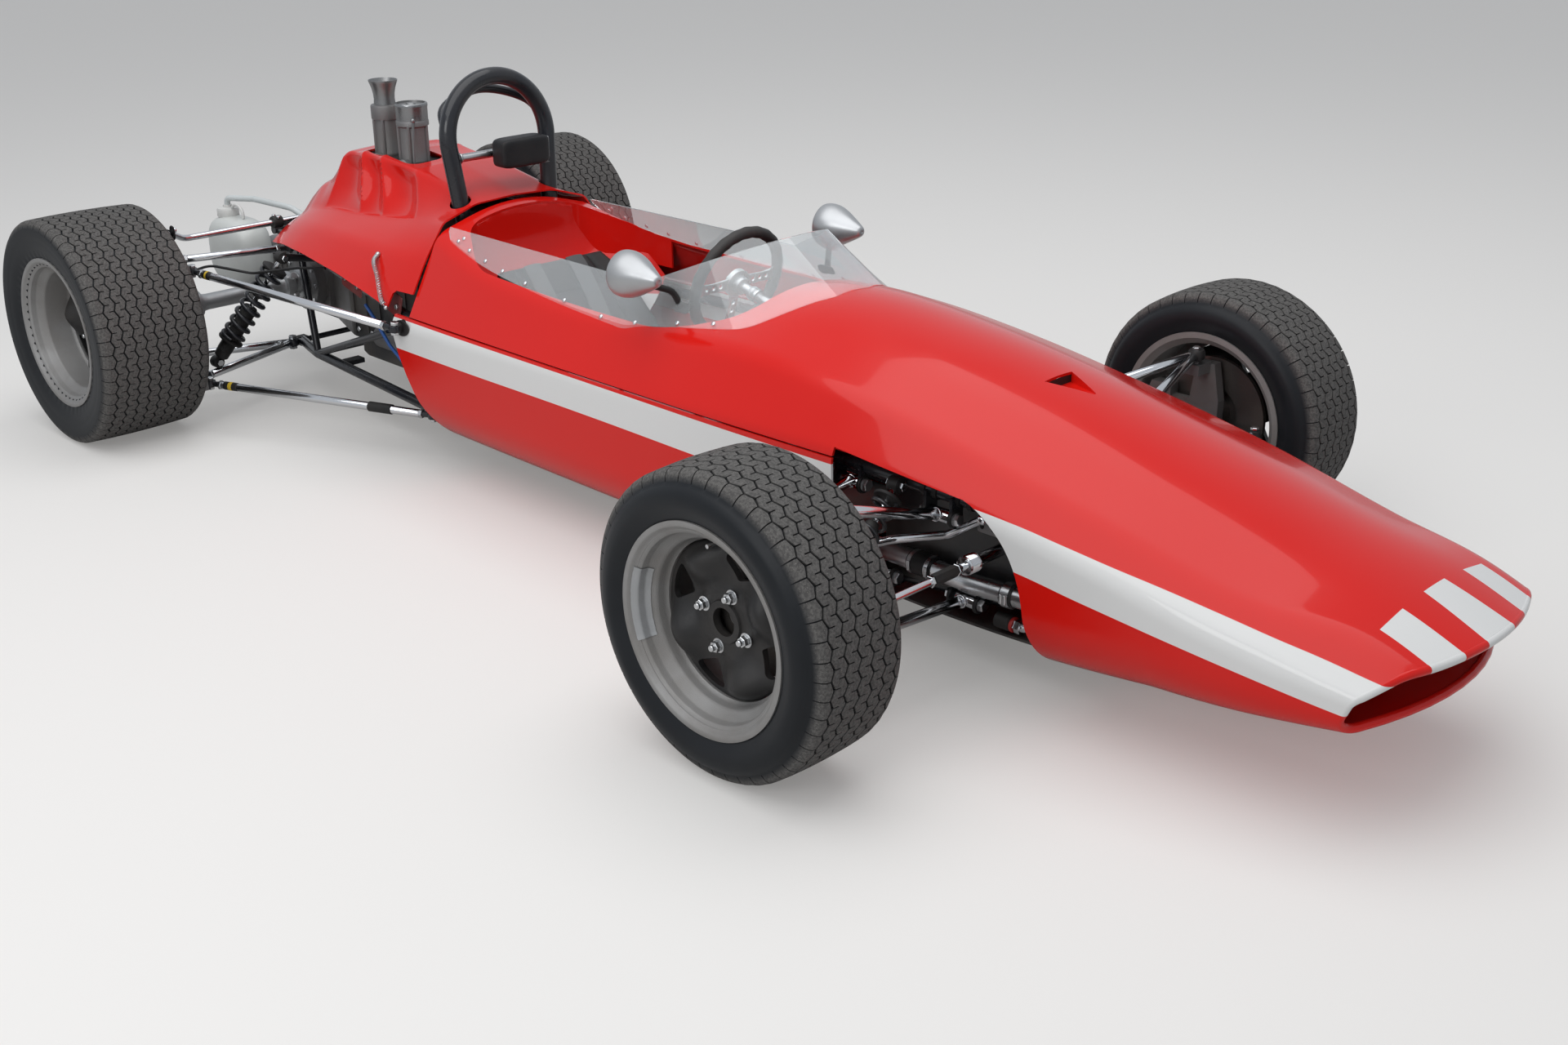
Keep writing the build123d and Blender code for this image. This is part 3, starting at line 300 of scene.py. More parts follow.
# Materials
def wire(tree, node, inputs):
    # links sockets to a node's inputs, and sets plain values on them
    for key, value in inputs.items():
        if isinstance(value, bpy.types.NodeSocket):
            tree.links.new(value, node.inputs[key])
        else:
            node.inputs[key].default_value = value


def addNode(tree, kind, inputs=None, **settings):
    node = tree.nodes.new("ShaderNode" + kind)
    for key, value in settings.items():
        setattr(node, key, value)
    wire(tree, node, inputs or {})
    return node


def ramp(tree, value, low, high, toLow=0.0, toHigh=1.0):
    return addNode(tree, "MapRange", {
        "Value": value, "From Min": low, "From Max": high, "To Min": toLow, "To Max": toHigh,
    }, interpolation_type="SMOOTHSTEP").outputs[0]


def maths(tree, operation, a, b=0.0):
    return addNode(tree, "Math", {0: a, 1: b}, operation=operation).outputs[0]


def mixed(tree, share, a, b):
    # from colour a to colour b, each of them a socket or plain values
    a, b = (c if isinstance(c, bpy.types.NodeSocket) else (*c, 1) for c in (a, b))
    return addNode(tree, "Mix", {0: share, 6: a, 7: b}, data_type="RGBA").outputs[2]


def bumped(tree, height, strength, distance=0.0004):
    return addNode(tree, "Bump", {"Height": height, "Strength": strength, "Distance": distance}).outputs[0]


def patinaGroup():
    # masks from object coordinates: soft blotches, fine grain and thin streaks
    group = bpy.data.node_groups.new("patina", "ShaderNodeTree")
    for name in ("Blotch", "Grain", "Streak"):
        group.interface.new_socket(name, in_out="OUTPUT", socket_type="NodeSocketFloat")
    out = group.nodes.new("NodeGroupOutput")
    coords = addNode(group, "TexCoord").outputs["Object"]
    blotch = addNode(group, "TexNoise", {"Vector": coords, "Scale": 9.0, "Detail": 5.0})
    grain = addNode(group, "TexNoise", {"Vector": coords, "Scale": 900.0, "Detail": 3.0})
    flat = addNode(group, "VectorMath", {0: coords, 1: (18.0, 18.0, 900.0)}, operation="MULTIPLY").outputs[0]
    streak = addNode(group, "TexNoise", {"Vector": flat, "Scale": 1.0, "Detail": 2.0})
    for name, node in (("Blotch", blotch), ("Grain", grain), ("Streak", streak)):
        group.links.new(ramp(group, node.outputs["Fac"], 0.3, 0.7), out.inputs[name])
    return group


def newMaterial(name):
    material = bpy.data.materials.new(name)
    material.use_nodes = True
    tree = material.node_tree
    shader = tree.nodes["Principled BSDF"]
    patina = addNode(tree, "Group", node_tree=patinaNodes)
    return material, tree, shader, patina


def surface(name, colour, rough, metal=0.0, dirtShare=0.15, bump=0.04, spread=0.12, height="Grain",
            coat=0.0, shine=0.5):
    # one plain finish: a colour with blotches of dirt, uneven gloss and a fine bump
    material, tree, shader, patina = newMaterial(name)
    blotch = patina.outputs["Blotch"]
    wire(tree, shader, {
        "Base Color": mixed(tree, maths(tree, "MULTIPLY", blotch, dirtShare), colour, dirtColour),
        "Roughness": ramp(tree, blotch, 0, 1, rough, rough + spread), "Metallic": metal,
        "Specular IOR Level": shine, "Coat Weight": coat, "Coat Roughness": 0.06,
        "Normal": bumped(tree, patina.outputs[height], bump),
    })
    return material


def curveOf(tree, value, points):
    # height along x as a smooth curve through its points
    span = arr(points)
    low, high = span[:, 0].min(), span[:, 0].max()
    scaled = ramp(tree, value, low, high)
    scaled.node.interpolation_type = "LINEAR"
    node = addNode(tree, "FloatCurve", {"Value": scaled})
    curve = node.mapping.curves[0]
    for k, (x, z) in enumerate(span.tolist()):
        u = (x - low) / (high - low)
        if k < 2:
            curve.points[k].location = (u, z)
        else:
            curve.points.new(u, z)
    node.mapping.update()
    return node.outputs[0]


sideStripe = {
    "top": [(-0.72, 0.366), (-0.45, 0.368), (0.0, 0.371), (0.45, 0.371), (0.7, 0.371), (0.98, 0.372),
            (1.09, 0.365), (1.19, 0.353), (1.28, 0.341), (1.37, 0.329), (1.46, 0.315),
            (1.55, 0.3), (1.63, 0.287), (1.71, 0.271), (1.8, 0.253)],
    "bottom": [(-0.72, 0.296), (-0.45, 0.297), (0.0, 0.3), (0.35, 0.297), (0.7, 0.293),
               (1.00, 0.29), (1.12, 0.283), (1.22, 0.271), (1.33, 0.259), (1.45, 0.246),
               (1.54, 0.235), (1.63, 0.223), (1.7, 0.214), (1.8, 0.2)],
}


def paintMaterial():
    # gloss red with white stripes along each side and three short ones on the nose
    material, tree, shader, patina = newMaterial("redPaint")
    coords = addNode(tree, "TexCoord").outputs["Object"]
    x, y, z = addNode(tree, "SeparateXYZ", {0: coords}).outputs
    aside = maths(tree, "ABSOLUTE", y)
    e = 0.0005
    under = ramp(tree, maths(tree, "SUBTRACT", curveOf(tree, x, sideStripe["top"]), z), -e, e)
    over = ramp(tree, maths(tree, "SUBTRACT", z, curveOf(tree, x, sideStripe["bottom"])), -e, e)
    sides = maths(tree, "MULTIPLY", maths(tree, "MULTIPLY", under, over), ramp(tree, aside, 0.17, 0.171))
    edge = maths(tree, "ADD", 0.034, maths(tree, "MULTIPLY", maths(tree, "SUBTRACT", x, 1.672), 0.08))
    middle = ramp(tree, maths(tree, "SUBTRACT", edge, aside), -e, e)
    outer = maths(tree, "MULTIPLY", ramp(tree, aside, 0.1 - e, 0.1 + e),
                  ramp(tree, aside, 0.168 - e, 0.168 + e, 1, 0))
    bands = maths(tree, "MULTIPLY", maths(tree, "ADD", middle, outer), ramp(tree, x, 1.672 - e, 1.672 + e))
    bands = maths(tree, "MULTIPLY", bands, ramp(tree, z, 0.262, 0.263))
    white = maths(tree, "MINIMUM", maths(tree, "ADD", sides, bands), 1.0)
    faded = mixed(tree, maths(tree, "MULTIPLY", patina.outputs["Blotch"], 0.03), (0.68, 0.01, 0.006),
                  (0.7, 0.04, 0.03))
    soft = addNode(tree, "TexNoise", {"Vector": coords, "Scale": 260.0, "Detail": 1.0})
    wire(tree, shader, {
        "Base Color": mixed(tree, white, faded, (0.74, 0.74, 0.73)),
        "Roughness": ramp(tree, patina.outputs["Blotch"], 0, 1, 0.16, 0.2),
        "Specular IOR Level": 0.15, "Coat Weight": 0.32, "Coat Roughness": 0.04,
        "Normal": bumped(tree, soft.outputs["Fac"], 0.05),
    })
    return material


def treadMaterial():
    # black rubber whose raised tread is worn grey and dusty
    material, tree, shader, patina = newMaterial("rubber")
    worn = addNode(tree, "Attribute", attribute_name="worn").outputs["Fac"]
    coords = addNode(tree, "TexCoord").outputs["Object"]
    dust = addNode(tree, "TexNoise", {"Vector": coords, "Scale": 240.0, "Detail": 6.0})
    specks = addNode(tree, "TexNoise", {"Vector": coords, "Scale": 700.0, "Detail": 2.0})
    grey = mixed(tree, ramp(tree, dust.outputs["Fac"], 0.35, 0.65), (0.075, 0.072, 0.07), (0.125, 0.12, 0.115))
    lit = mixed(tree, ramp(tree, specks.outputs["Fac"], 0.66, 0.72), grey, (0.3, 0.29, 0.27))
    side = mixed(tree, maths(tree, "MULTIPLY", patina.outputs["Blotch"], 0.5), (0.009, 0.0105, 0.013),
                 (0.015, 0.017, 0.02))
    wire(tree, shader, {
        "Base Color": mixed(tree, worn, side, lit), "Roughness": ramp(tree, worn, 0, 1, 0.44, 0.85),
        "Specular IOR Level": 0.22,
        "Normal": bumped(tree, maths(tree, "MULTIPLY", dust.outputs["Fac"], worn), 0.5, 0.0008),
    })
    return material


def screenMaterial():
    # clear sheet that lets lamplight through; its near-white base takes part of the light back from transmission, a
    # milky veil that is painted sheen in place of reflected sky
    material, tree, shader, patina = newMaterial("screen")
    wire(tree, shader, {
        # white Base Color with Transmission Weight below one: painted sheen, a pale veil laid over the whole sheet
        "Base Color": (0.92, 0.95, 0.96, 1), "Transmission Weight": 0.86, "IOR": 1.47,
        "Roughness": ramp(tree, patina.outputs["Blotch"], 0, 1, 0.0, 0.05),
    })
    clear = addNode(tree, "BsdfTransparent")
    path = addNode(tree, "LightPath")
    share = maths(tree, "MULTIPLY", path.outputs["Is Shadow Ray"], 0.9)
    seen = addNode(tree, "MixShader", {0: share, 1: shader.outputs[0], 2: clear.outputs[0]})
    tree.links.new(seen.outputs[0], tree.nodes["Material Output"].inputs["Surface"])
    return material


patinaNodes, dirtColour = patinaGroup(), (0.16, 0.14, 0.12)
# Each finish: the record's slot, then colour, roughness and options for surface(). The first finish
# of a slot also dresses the plain solids
finishes = {
    "redPaint": ("body_paint", None, None, {}),
    "blackPanel": ("panel_black", (0.014, 0.014, 0.016), 0.3, {"dirtShare": 0.3}),
    "framePaint": ("frame_paint", (0.012, 0.014, 0.019), 0.22, {"dirtShare": 0.1, "coat": 0.35, "shine": 0.3}),
    "blackTrim": ("black_trim", (0.01, 0.01, 0.011), 0.42, {"dirtShare": 0.12, "bump": 0.2, "shine": 0.3}),
    "padCover": ("padding", (0.01, 0.01, 0.012), 0.42, {"dirtShare": 0.1, "bump": 0.5, "shine": 0.3}),
    "chrome": ("bright_steel", (0.72, 0.73, 0.75), 0.06,
               {"metal": 1.0, "dirtShare": 0.08, "spread": 0.1, "bump": 0.02}),
    "brushed": ("brushed", (0.6, 0.61, 0.62), 0.24, {"metal": 1.0, "height": "Streak", "bump": 0.1}),
    "castAlloy": ("cast_alloy", (0.22, 0.22, 0.225), 0.42, {"metal": 0.6, "dirtShare": 0.5, "bump": 0.5}),
    "wheelGrey": ("wheel_alloy", (0.31, 0.305, 0.3), 0.5, {"metal": 0.45, "dirtShare": 0.4, "bump": 0.5}),
    "rubber": ("tyre_rubber", None, None, {}),
    "wheelDark": ("wheel_alloy", (0.013, 0.013, 0.014), 0.36, {"dirtShare": 0.15, "bump": 0.4, "shine": 0.35}),
    "tape": ("brushed", (0.4, 0.41, 0.42), 0.36, {"metal": 0.7, "dirtShare": 0.2, "bump": 0.2}),
    "iron": ("iron", (0.16, 0.15, 0.145), 0.36, {"metal": 0.9, "dirtShare": 0.5, "height": "Streak", "bump": 0.2}),
    "engineGrey": ("engine_grey", (0.045, 0.047, 0.05), 0.45, {"metal": 0.2, "dirtShare": 0.6, "bump": 0.4}),
    "pipeSteel": ("pipe_steel", (0.28, 0.23, 0.19), 0.34, {"metal": 0.9, "dirtShare": 0.5}),
    "milky": ("bottle", (0.66, 0.68, 0.66), 0.3, {"dirtShare": 0.1}),
    "screen": ("clear_screen", None, None, {}),
    "sealRed": ("body_paint", (0.45, 0.01, 0.008), 0.35, {"dirtShare": 0.1}),
    "darkRed": ("body_paint", (0.16, 0.008, 0.01), 0.4, {"dirtShare": 0.3}),
    "markYellow": ("panel_black", (0.62, 0.42, 0.02), 0.5, {"dirtShare": 0.1}),
    "bluePlastic": ("black_trim", (0.02, 0.09, 0.32), 0.4, {"dirtShare": 0.1}),
    "clearHose": ("bottle", (0.62, 0.66, 0.66), 0.3, {"dirtShare": 0.1}),
    "satin": ("brushed", (0.46, 0.47, 0.48), 0.34, {"metal": 0.8, "dirtShare": 0.1, "bump": 0.05}),
    "worked": ("brushed", (0.27, 0.275, 0.28), 0.26,
               {"metal": 0.85, "dirtShare": 0.3, "height": "Streak", "bump": 0.15}),
    "leather": ("black_trim", (0.013, 0.013, 0.015), 0.5, {"dirtShare": 0.2, "bump": 0.3}),
    "webbing": ("padding", (0.1, 0.105, 0.11), 0.8, {"dirtShare": 0.2, "bump": 0.6, "height": "Streak"}),
    "whiteMark": ("panel_black", (0.7, 0.7, 0.68), 0.5, {"dirtShare": 0.05}),
    "mirrorFace": ("bright_steel", (0.8, 0.82, 0.84), 0.03,
                   {"metal": 1.0, "dirtShare": 0.02, "spread": 0.02, "bump": 0.0}),
}
special = {"redPaint": paintMaterial, "rubber": treadMaterial, "screen": screenMaterial}
materials = {name: special[name]() if name in special else surface(name, colour, rough, **options)
             for name, (slot, colour, rough, options) in finishes.items()}
slotOf = {name: row[0] for name, row in finishes.items()}
bySlot = {slot: name for name, slot in reversed(slotOf.items())}
for part in frame["record"]["subparts"]:
    own = frame["nodes"][part["node"]].data.materials
    own.clear()
    own.append(materials[bySlot[part["material_slot"]]])
print("materials", len(materials))

# Body skin. Rows: station, floor height, belt half width and height, shoulder half width and
# height, crown height
bodyRows = arr([
    (coverX - 0.06, 0.086, 0.331, 0.35, 0.212, 0.568, 0.624),
    (coverX + 0.13, 0.086, 0.334, 0.356, 0.246, 0.52, 0.596),
    (coverX + 0.43, 0.086, 0.336, 0.366, 0.262, 0.496, 0.56),
    (coverX + 0.76, 0.086, 0.336, 0.376, 0.264, 0.494, 0.57),
    (frontX - 0.42, 0.086, 0.334, 0.388, 0.262, 0.504, 0.606),
    (frontX - 0.17, 0.086, 0.329, 0.39, 0.262, 0.482, 0.584),
    (frontX + 0.1, 0.089, 0.322, 0.372, 0.262, 0.44, 0.54),
    (frontX + 0.38, 0.108, 0.312, 0.33, 0.258, 0.388, 0.473),
    (frontX + 0.62, 0.138, 0.297, 0.284, 0.244, 0.334, 0.408),
    (frontX + 0.8, 0.172, 0.272, 0.25, 0.208, 0.315, 0.352),
    (frontX + 0.96, 0.2, 0.24, 0.228, 0.196, 0.252, 0.29),
])
bodySizes = {"wall": 0.005, "floorTurn": 0.118, "beltTurn": 0.052, "shoulderTurn": 0.072, "floorHalf": 0.2006,
             "seamFront": 0.386, "seamSlope": 0.008, "panelFront": 0.702, "bayTop": 0.402}


def cornerArc(prev, here, nxt, radius, steps):
    # arc points and outward directions at a rounded corner, for many sections at once
    back, on = unit(prev - here), unit(nxt - here)
    half = 0.5 * np.arccos(np.clip((back * on).sum(1), -1, 1))
    centre = here + unit(back + on) * (radius / np.sin(half))[:, None]
    reach = (radius / np.tan(half))[:, None]
    a = (here + back * reach - centre) / radius[:, None]
    b = (here + on * reach - centre) / radius[:, None]
    turn = (math.pi - 2 * half)[:, None, None]
    s = np.linspace(0, 1, steps)[None, :, None]
    out = (np.sin((1 - s) * turn) * a[:, None] + np.sin(s * turn) * b[:, None]) / np.sin(turn)
    return centre[:, None] + out * radius[:, None, None], out


def bodySections(x):
    # outlines of the left half from the floor's middle to the crown, with outward directions
    low, belt, beltZ, shoulder, shoulderZ, crown = smoothRows(bodyRows[:, 0], bodyRows[:, 1:], x).T
    side = beltZ - low
    lowR = np.minimum(bodySizes["floorTurn"], 0.6 * side)
    beltR = np.minimum(bodySizes["beltTurn"], 0.42 * side)
    shoulderR = np.full_like(x, bodySizes["shoulderTurn"])
    crownR = 0.62 * shoulder / ((crown - shoulderZ) / shoulder)
    corner = [np.stack(p, 1) for p in (
        (6e-3 - belt, low), (belt - 6e-3, low), (belt, beltZ), (shoulder, shoulderZ),
        (0 * x, crown), (-shoulder, shoulderZ))]
    arcs = [cornerArc(corner[k - 1], corner[k], corner[k + 1], r, n)
            for k, r, n in ((1, lowR, 14), (2, beltR, 10), (3, shoulderR, 12), (4, crownR, 17))]
    points, outward = [], []
    last = np.stack([0 * x, low], 1)
    down = np.stack([0 * x, -1 + 0 * x], 1)
    for k, (p, n) in enumerate(arcs):
        s = np.linspace(0, 1, 9 if k else 6)[None, :-1, None]
        points.append(last[:, None] * (1 - s) + p[:, :1] * s)
        outward.append(np.repeat(n[:, :1] if k else down[:, None], s.shape[1], 1))
        keep = p.shape[1] if k < 3 else 9
        points.append(p[:, :keep])
        outward.append(n[:, :keep])
        last = p[:, -1]
    return np.concatenate(points, 1), np.concatenate(outward, 1)


def bodyRings(x, depth=0.0):
    # whole outlines of the skin, moved in by a depth
    half, out = bodySections(x)
    p = half - out * depth
    p[:, [0, -1], 0] = 0
    ring = np.concatenate([p, p[:, -2:0:-1] * [-1, 1]], 1)
    return np.concatenate([np.broadcast_to(x[:, None, None], (*ring.shape[:2], 1)), ring], 2)


def bodyShell(x0, x1, steps, depth):
    # closed tube of wall thickness: outer skin, and the same skin moved in by the wall
    x = np.linspace(x0, x1, steps)
    return gridForm(np.concatenate([bodyRings(x), bodyRings(x, depth)[::-1]]), closeU=True, closeV=True)


def bodyFull():
    # the body's outside as one closed solid
    grid = bodyRings(np.linspace(coverX - 0.05, noseX + 0.03, 120))
    return merge([gridForm(grid, closeV=True), capForm(grid[0]), capForm(grid[-1])])


def seamZ(x):
    return bodySizes["seamFront"] + bodySizes["seamSlope"] * (x - bodySizes["panelFront"])


def prism(rings):
    # solid with whole end faces between two rings of as many points
    n = len(rings[0])
    mesh = bpy.data.meshes.new("prism")
    faces = [tuple(range(n)), tuple(range(n, 2 * n))]
    faces += [(i, (i + 1) % n, n + (i + 1) % n, n + i) for i in range(n)]
    mesh.from_pydata(np.vstack(rings).tolist(), [], faces)
    tidyMesh(mesh, 30)
    return mesh


def cutter(outline, low, high, axis="y"):
    # prism on an outline between two places along an axis
    return prism([np.insert(arr(outline), "xyz".index(axis), level, 1) for level in (low, high)])


def carve(mesh, *others, how="DIFFERENCE"):
    # the mesh after one exact cut, join or overlap with each of the others
    obj, helpers = linked("work", mesh), [linked("helper", other) for other in others]
    for helper in helpers:
        cut = obj.modifiers.new("cut", "BOOLEAN")
        cut.operation, cut.object, cut.solver = how, helper, "EXACT"
    bpy.context.view_layer.update()
    made = bpy.data.meshes.new_from_object(obj.evaluated_get(bpy.context.evaluated_depsgraph_get()))
    for o in (obj, *helpers):
        bpy.data.objects.remove(o)
    return made


def roundedPlan(corners, steps, closed=True):
    # outline past (x, y, radius) corners with an arc at each; an open one keeps its two end points
    c = arr(corners)
    p, n = c[:, None, :2], len(c)
    arcs = [cornerArc(p[k - 1], p[k], p[(k + 1) % n], c[k:k + 1, 2], steps)[0][0]
            for k in (range(n) if closed else range(1, n - 1))]
    return np.vstack(arcs if closed else [p[0], *arcs, p[-1]])


def cockpitPlan(spread):
    # plan of the cockpit opening, its corners rounded
    rear, front = coverX + 0.03, frontX - 0.548
    half = [(rear, 0.158 + spread, 0.07), (rear + 0.15, 0.25 + spread, 0.16),
            (frontX - 0.69, 0.256 + spread, 0.25), (front + spread, 0.168 + spread, 0.105)]
    return roundedPlan([(x, -y, r) for x, y, r in half] + half[::-1], 9)


noseX, lipZ, bowR, lean, rollR = 1.785, 0.284, 0.565, math.radians(22), 0.008


def noseKeeper():
    # everything behind the bowed front that leans back towards the chin
    a = np.linspace(-1.05, 1.05, 61)
    reach = bowR - rollR
    plan = np.vstack([np.stack([reach * np.cos(a), reach * np.sin(a)], 1), [(-3, 0.5), (-3, -0.5)]])
    u, w = arr([math.cos(lean), 0, -math.sin(lean)]), arr([math.sin(lean), 0, math.cos(lean)])
    centre = arr([noseX - bowR / math.cos(lean), 0, lipZ])
    return prism([centre + plan[:, :1] * u + plan[:, 1:] * leftward + h * w for h in (-1.2, 1.2)])


def evenly(points, count):
    # the same run with evenly spaced points
    d = np.concatenate([[0], np.cumsum(np.linalg.norm(np.diff(points, axis=0), axis=1))])
    s = np.linspace(0, d[-1], count)
    return np.stack([np.interp(s, d, points[:, k]) for k in range(points.shape[1])], 1)


def mouthLip():
    # rolled edge round the mouth: a tube just inside the skin where the bowed front cuts it
    x = np.linspace(1.6, 1.82, 111)
    half, out = bodySections(x)
    half[:, [0, -1], 0] = 0
    along = (x[:, None] - noseX + bowR / math.cos(lean)) * math.cos(lean) - (half[..., 1] - lipZ) * math.sin(lean)
    past = np.hypot(along, half[..., 0]) - (bowR - rollR)
    points = []
    for j in range(half.shape[1]):
        at = np.interp(0, past[:, j], x)
        centre = [np.interp(at, x, half[:, j, k] - out[:, j, k] * rollR) for k in (0, 1)]
        points.append([at, *centre])
    left = arr(points)
    left[[0, -1], 1] = 0
    ring = evenly(np.vstack([left, left[-2::-1] * [1, -1, 1]]), 221)[:-1]
    return tubeForm(ring, rollR, 16, closed=True)


def bayOutline():
    # side view of the opening for the front suspension
    a, b, c = arr([frontX + 0.12, 0.379]), arr([frontX + 0.214, 0.32]), arr([frontX + 0.256, 0.2])
    s = np.linspace(0, 1, 15)[:, None]
    middle = 2 * b - 0.5 * (a + c)
    front = bodySizes["panelFront"]
    return np.vstack([[(front, 0.04), (front, bodySizes["bayTop"])], parabola(a, middle, c, s),
                      [(frontX + 0.286, 0.04)]])


ventSizes = {"slot": 0.945, "tip": 1.026, "half": 0.04, "point": 0.003, "depth": 0.019}


def buildBody():
    # nose, scuttle and cockpit surround, with the open bays, the cockpit and the inner rear wall
    shell = meshData("shell", bodyShell(coverX, noseX + 0.035, 170, bodySizes["wall"]))
    front, gap = bodySizes["panelFront"], 0.0003
    half = bodySizes["floorHalf"]
    below = cutter([(-1, 0), (front, 0), (front, seamZ(front) + gap), (-1, seamZ(-1) + gap)], -0.5, 0.5)
    bays = [cutter(bayOutline(), *sorted((s * half, s * 0.46))) for s in (1, -1)]
    floorSlot = cutter([(-1, 0), (frontX + 0.286, 0), (frontX + 0.286, 0.16), (-1, 0.16)], -half, half)
    hole = cutter(cockpitPlan(0.0), 0.3, 0.8, "z")
    v = ventSizes
    vent = cutter([(v["slot"], -v["half"]), (v["tip"], -v["point"]), (v["tip"], v["point"]),
                   (v["slot"], v["half"])], 0.4, 0.62, "z")
    core = carve(carve(shell, below, floorSlot, *bays, hole, vent), noseKeeper(), how="INTERSECT")
    wall = carve(cutter(cockpitPlan(0.005), 0.43, 0.8, "z"), cutter(cockpitPlan(0.0), 0.4, 0.82, "z"))
    wall = carve(wall, cutter([(coverX, 0.4), (coverX + 0.26, 0.4), (coverX + 0.26, 0.9), (coverX, 0.9)], -0.4,
                              0.4), meshData("full", bodyFull()), how="INTERSECT")
    return carve(core, wall, how="UNION")


def sidePanel():
    # lower right panel, cut from the same skin, with its raked rear edge and the bracket's hole
    shell = meshData("panelShell", bodyShell(coverX - 0.058, bodySizes["panelFront"], 90, bodySizes["wall"]))
    front, gap, x = bodySizes["panelFront"], 0.0035, coverX
    keep = cutter([(x + 0.12, 0.06), (x + 0.07, 0.12), (x + 0.02, 0.18), (x - 0.018, 0.235), (x - 0.042, 0.28),
                   (x - 0.058, 0.33), (x - 0.058, seamZ(x) - gap), (front, seamZ(front) - gap), (front, 0.06)],
                  -0.5, -bodySizes["floorHalf"])
    hole = meshData("hole", turnedForm([(16, 0), (16, 200)], (coverX - 0.016, -0.4, 0.352), leftward, 32))
    return carve(carve(shell, keep, how="INTERSECT"), hole)


skin = piece("bodySkin", buildBody(), "redPaint", replaces=["upper_body"])
piece("mouthLip", mouthLip(), "redPaint", angle=60)
rightPanel = piece("rightSidePanel", sidePanel(), "redPaint", replaces=["side_panel_right"])
piece("leftSidePanel", mirrorMesh(rightPanel.data), "redPaint", replaces=["side_panel_left"])
print("body", len(skin.data.polygons), len(rightPanel.data.polygons))


# Wheels, built for the right side and mirrored for the left
tyreSizes = {
    "front": {"x": frontX, "track": frontTrack, "radius": frontRadius, "rim": 0.1, "tread": 0.086,
              "grooves": [-0.07, -0.042, -0.014, 0.014, 0.042, 0.07], "periods": 50, "wave": 0.0036,
              "dish": 0.062, "turn": 71.0},
    "rear": {"x": rearX, "track": rearTrack, "radius": rearRadius, "rim": 0.125, "tread": 0.129,
             "grooves": [-0.106, -0.0795, -0.053, -0.0265, 0.0, 0.0265, 0.053, 0.0795, 0.106],
             "periods": 52, "wave": 0.0034, "dish": 0.104, "turn": 40.0},
}
beadR, seatR = 0.1652, 0.1832


def wheelGrid(size, r, a, t):
    # points at a radius, an angle and a distance out from the wheel's middle plane
    x, y, z = size["x"] + r * np.cos(a), -(size["track"] / 2 + t), size["radius"] + r * np.sin(a)
    return np.stack(np.broadcast_arrays(x, y, z), -1)


def tyreForm(size):
    # columns across the tyre, with grooves; rows round it, with sipes at each wave's ends
    t, radius, rim = size["tread"], size["radius"], size["rim"]
    grooves = size["grooves"]
    pitch = grooves[1] - grooves[0]
    columns = []
    for g in grooves:
        columns += [(g - 0.46 * pitch, 0, 0, 0), (g - 0.44 * pitch, 0, 0, 1), (g - 0.0023, 0, 0, 1),
                    (g - 0.0015, 1, 1, 1), (g + 0.0015, 1, 1, 1), (g + 0.0023, 0, 1, 0),
                    (g + 0.44 * pitch, 0, 1, 0), (g + 0.46 * pitch, 0, 0, 0)]
    columns = [c for c in columns if abs(c[0]) < t - 0.006]
    edge = [(t - 0.0068, 0.003), (t - 0.0015, 0.0058), (t + 0.0025, 0.0105), (t + 0.0052, 0.016)]
    s = np.linspace(0, 1, 9)[1:]
    low, mid = radius - 0.022, (radius + seatR) / 2 - 0.006
    a, b, c = arr([t + 0.0068, low]), arr([rim + 0.0078, mid]), arr([rim - 0.002, seatR])
    bend = 2 * b - 0.5 * (a + c)
    ridges = [0, 0.0006, 0, 0, 0.0008, 0, 0, 0]
    outer = [(t + 0.0068, low)]
    outer += [(y + k - 0.0008, r) for (y, r), k in zip(parabola(a, bend, c, s[:, None]), ridges)]
    inner = [(rim - 0.0064, seatR), (rim - 0.0094, beadR)]
    crown = lambda y: radius - 0.003 * (np.abs(y) / (t - 0.007)) ** 2
    side = [(y, radius - d, 1 if k < 3 else 0.4) for k, (y, d) in enumerate(edge)]
    side += [(y, r, 0.0) for y, r in outer + inner]
    y = np.array([-p[0] for p in side[::-1]] + [q[0] for q in columns] + [p[0] for p in side])
    r = np.array([p[1] for p in side[::-1]] + [crown(q[0]) for q in columns] + [p[1] for p in side])
    top = np.array([p[2] for p in side[::-1]] + [1.0 for q in columns] + [p[2] for p in side])
    n = len(side)
    # shares of the groove, of the sipe at the wave's crest and of the one at its trough
    cut = np.zeros((3, len(y)))
    cut[:, n:-n] = arr(columns)[:, 1:].T
    cut[2, n - 4:n] = cut[1, len(y) - n:len(y) - n + 4] = 1
    phase = arr([-0.037, -0.024, 0.024, 0.037, 0.25, 0.463, 0.476, 0.524, 0.537, 0.75])
    crest = arr([0, 1, 1, 0, 0, 0, 0, 0, 0, 0])
    trough = arr([0, 0, 0, 0, 0, 0, 1, 1, 0, 0])
    rows = size["periods"]
    angle = ((np.arange(rows)[:, None] + phase[None, :]) * 2 * math.pi / rows).ravel()
    wave = np.tile(np.cos(2 * math.pi * phase), rows) * size["wave"]
    crest, trough = np.tile(crest, rows), np.tile(trough, rows)
    sway = np.clip((t - 0.004 - np.abs(y)) / 0.012, 0, 1)
    depth = np.maximum(cut[0][None, :], np.maximum(crest[:, None] * cut[1][None, :],
                                                   trough[:, None] * cut[2][None, :]))
    rr = r[None, :] - 0.0045 * depth
    yy = y[None, :] + wave[:, None] * sway[None, :]
    grid = wheelGrid(size, rr, angle[:, None], yy)
    worn = (top[None, :] * (1 - depth)).ravel()
    return gridForm(grid, closeU=True, closeV=True), worn


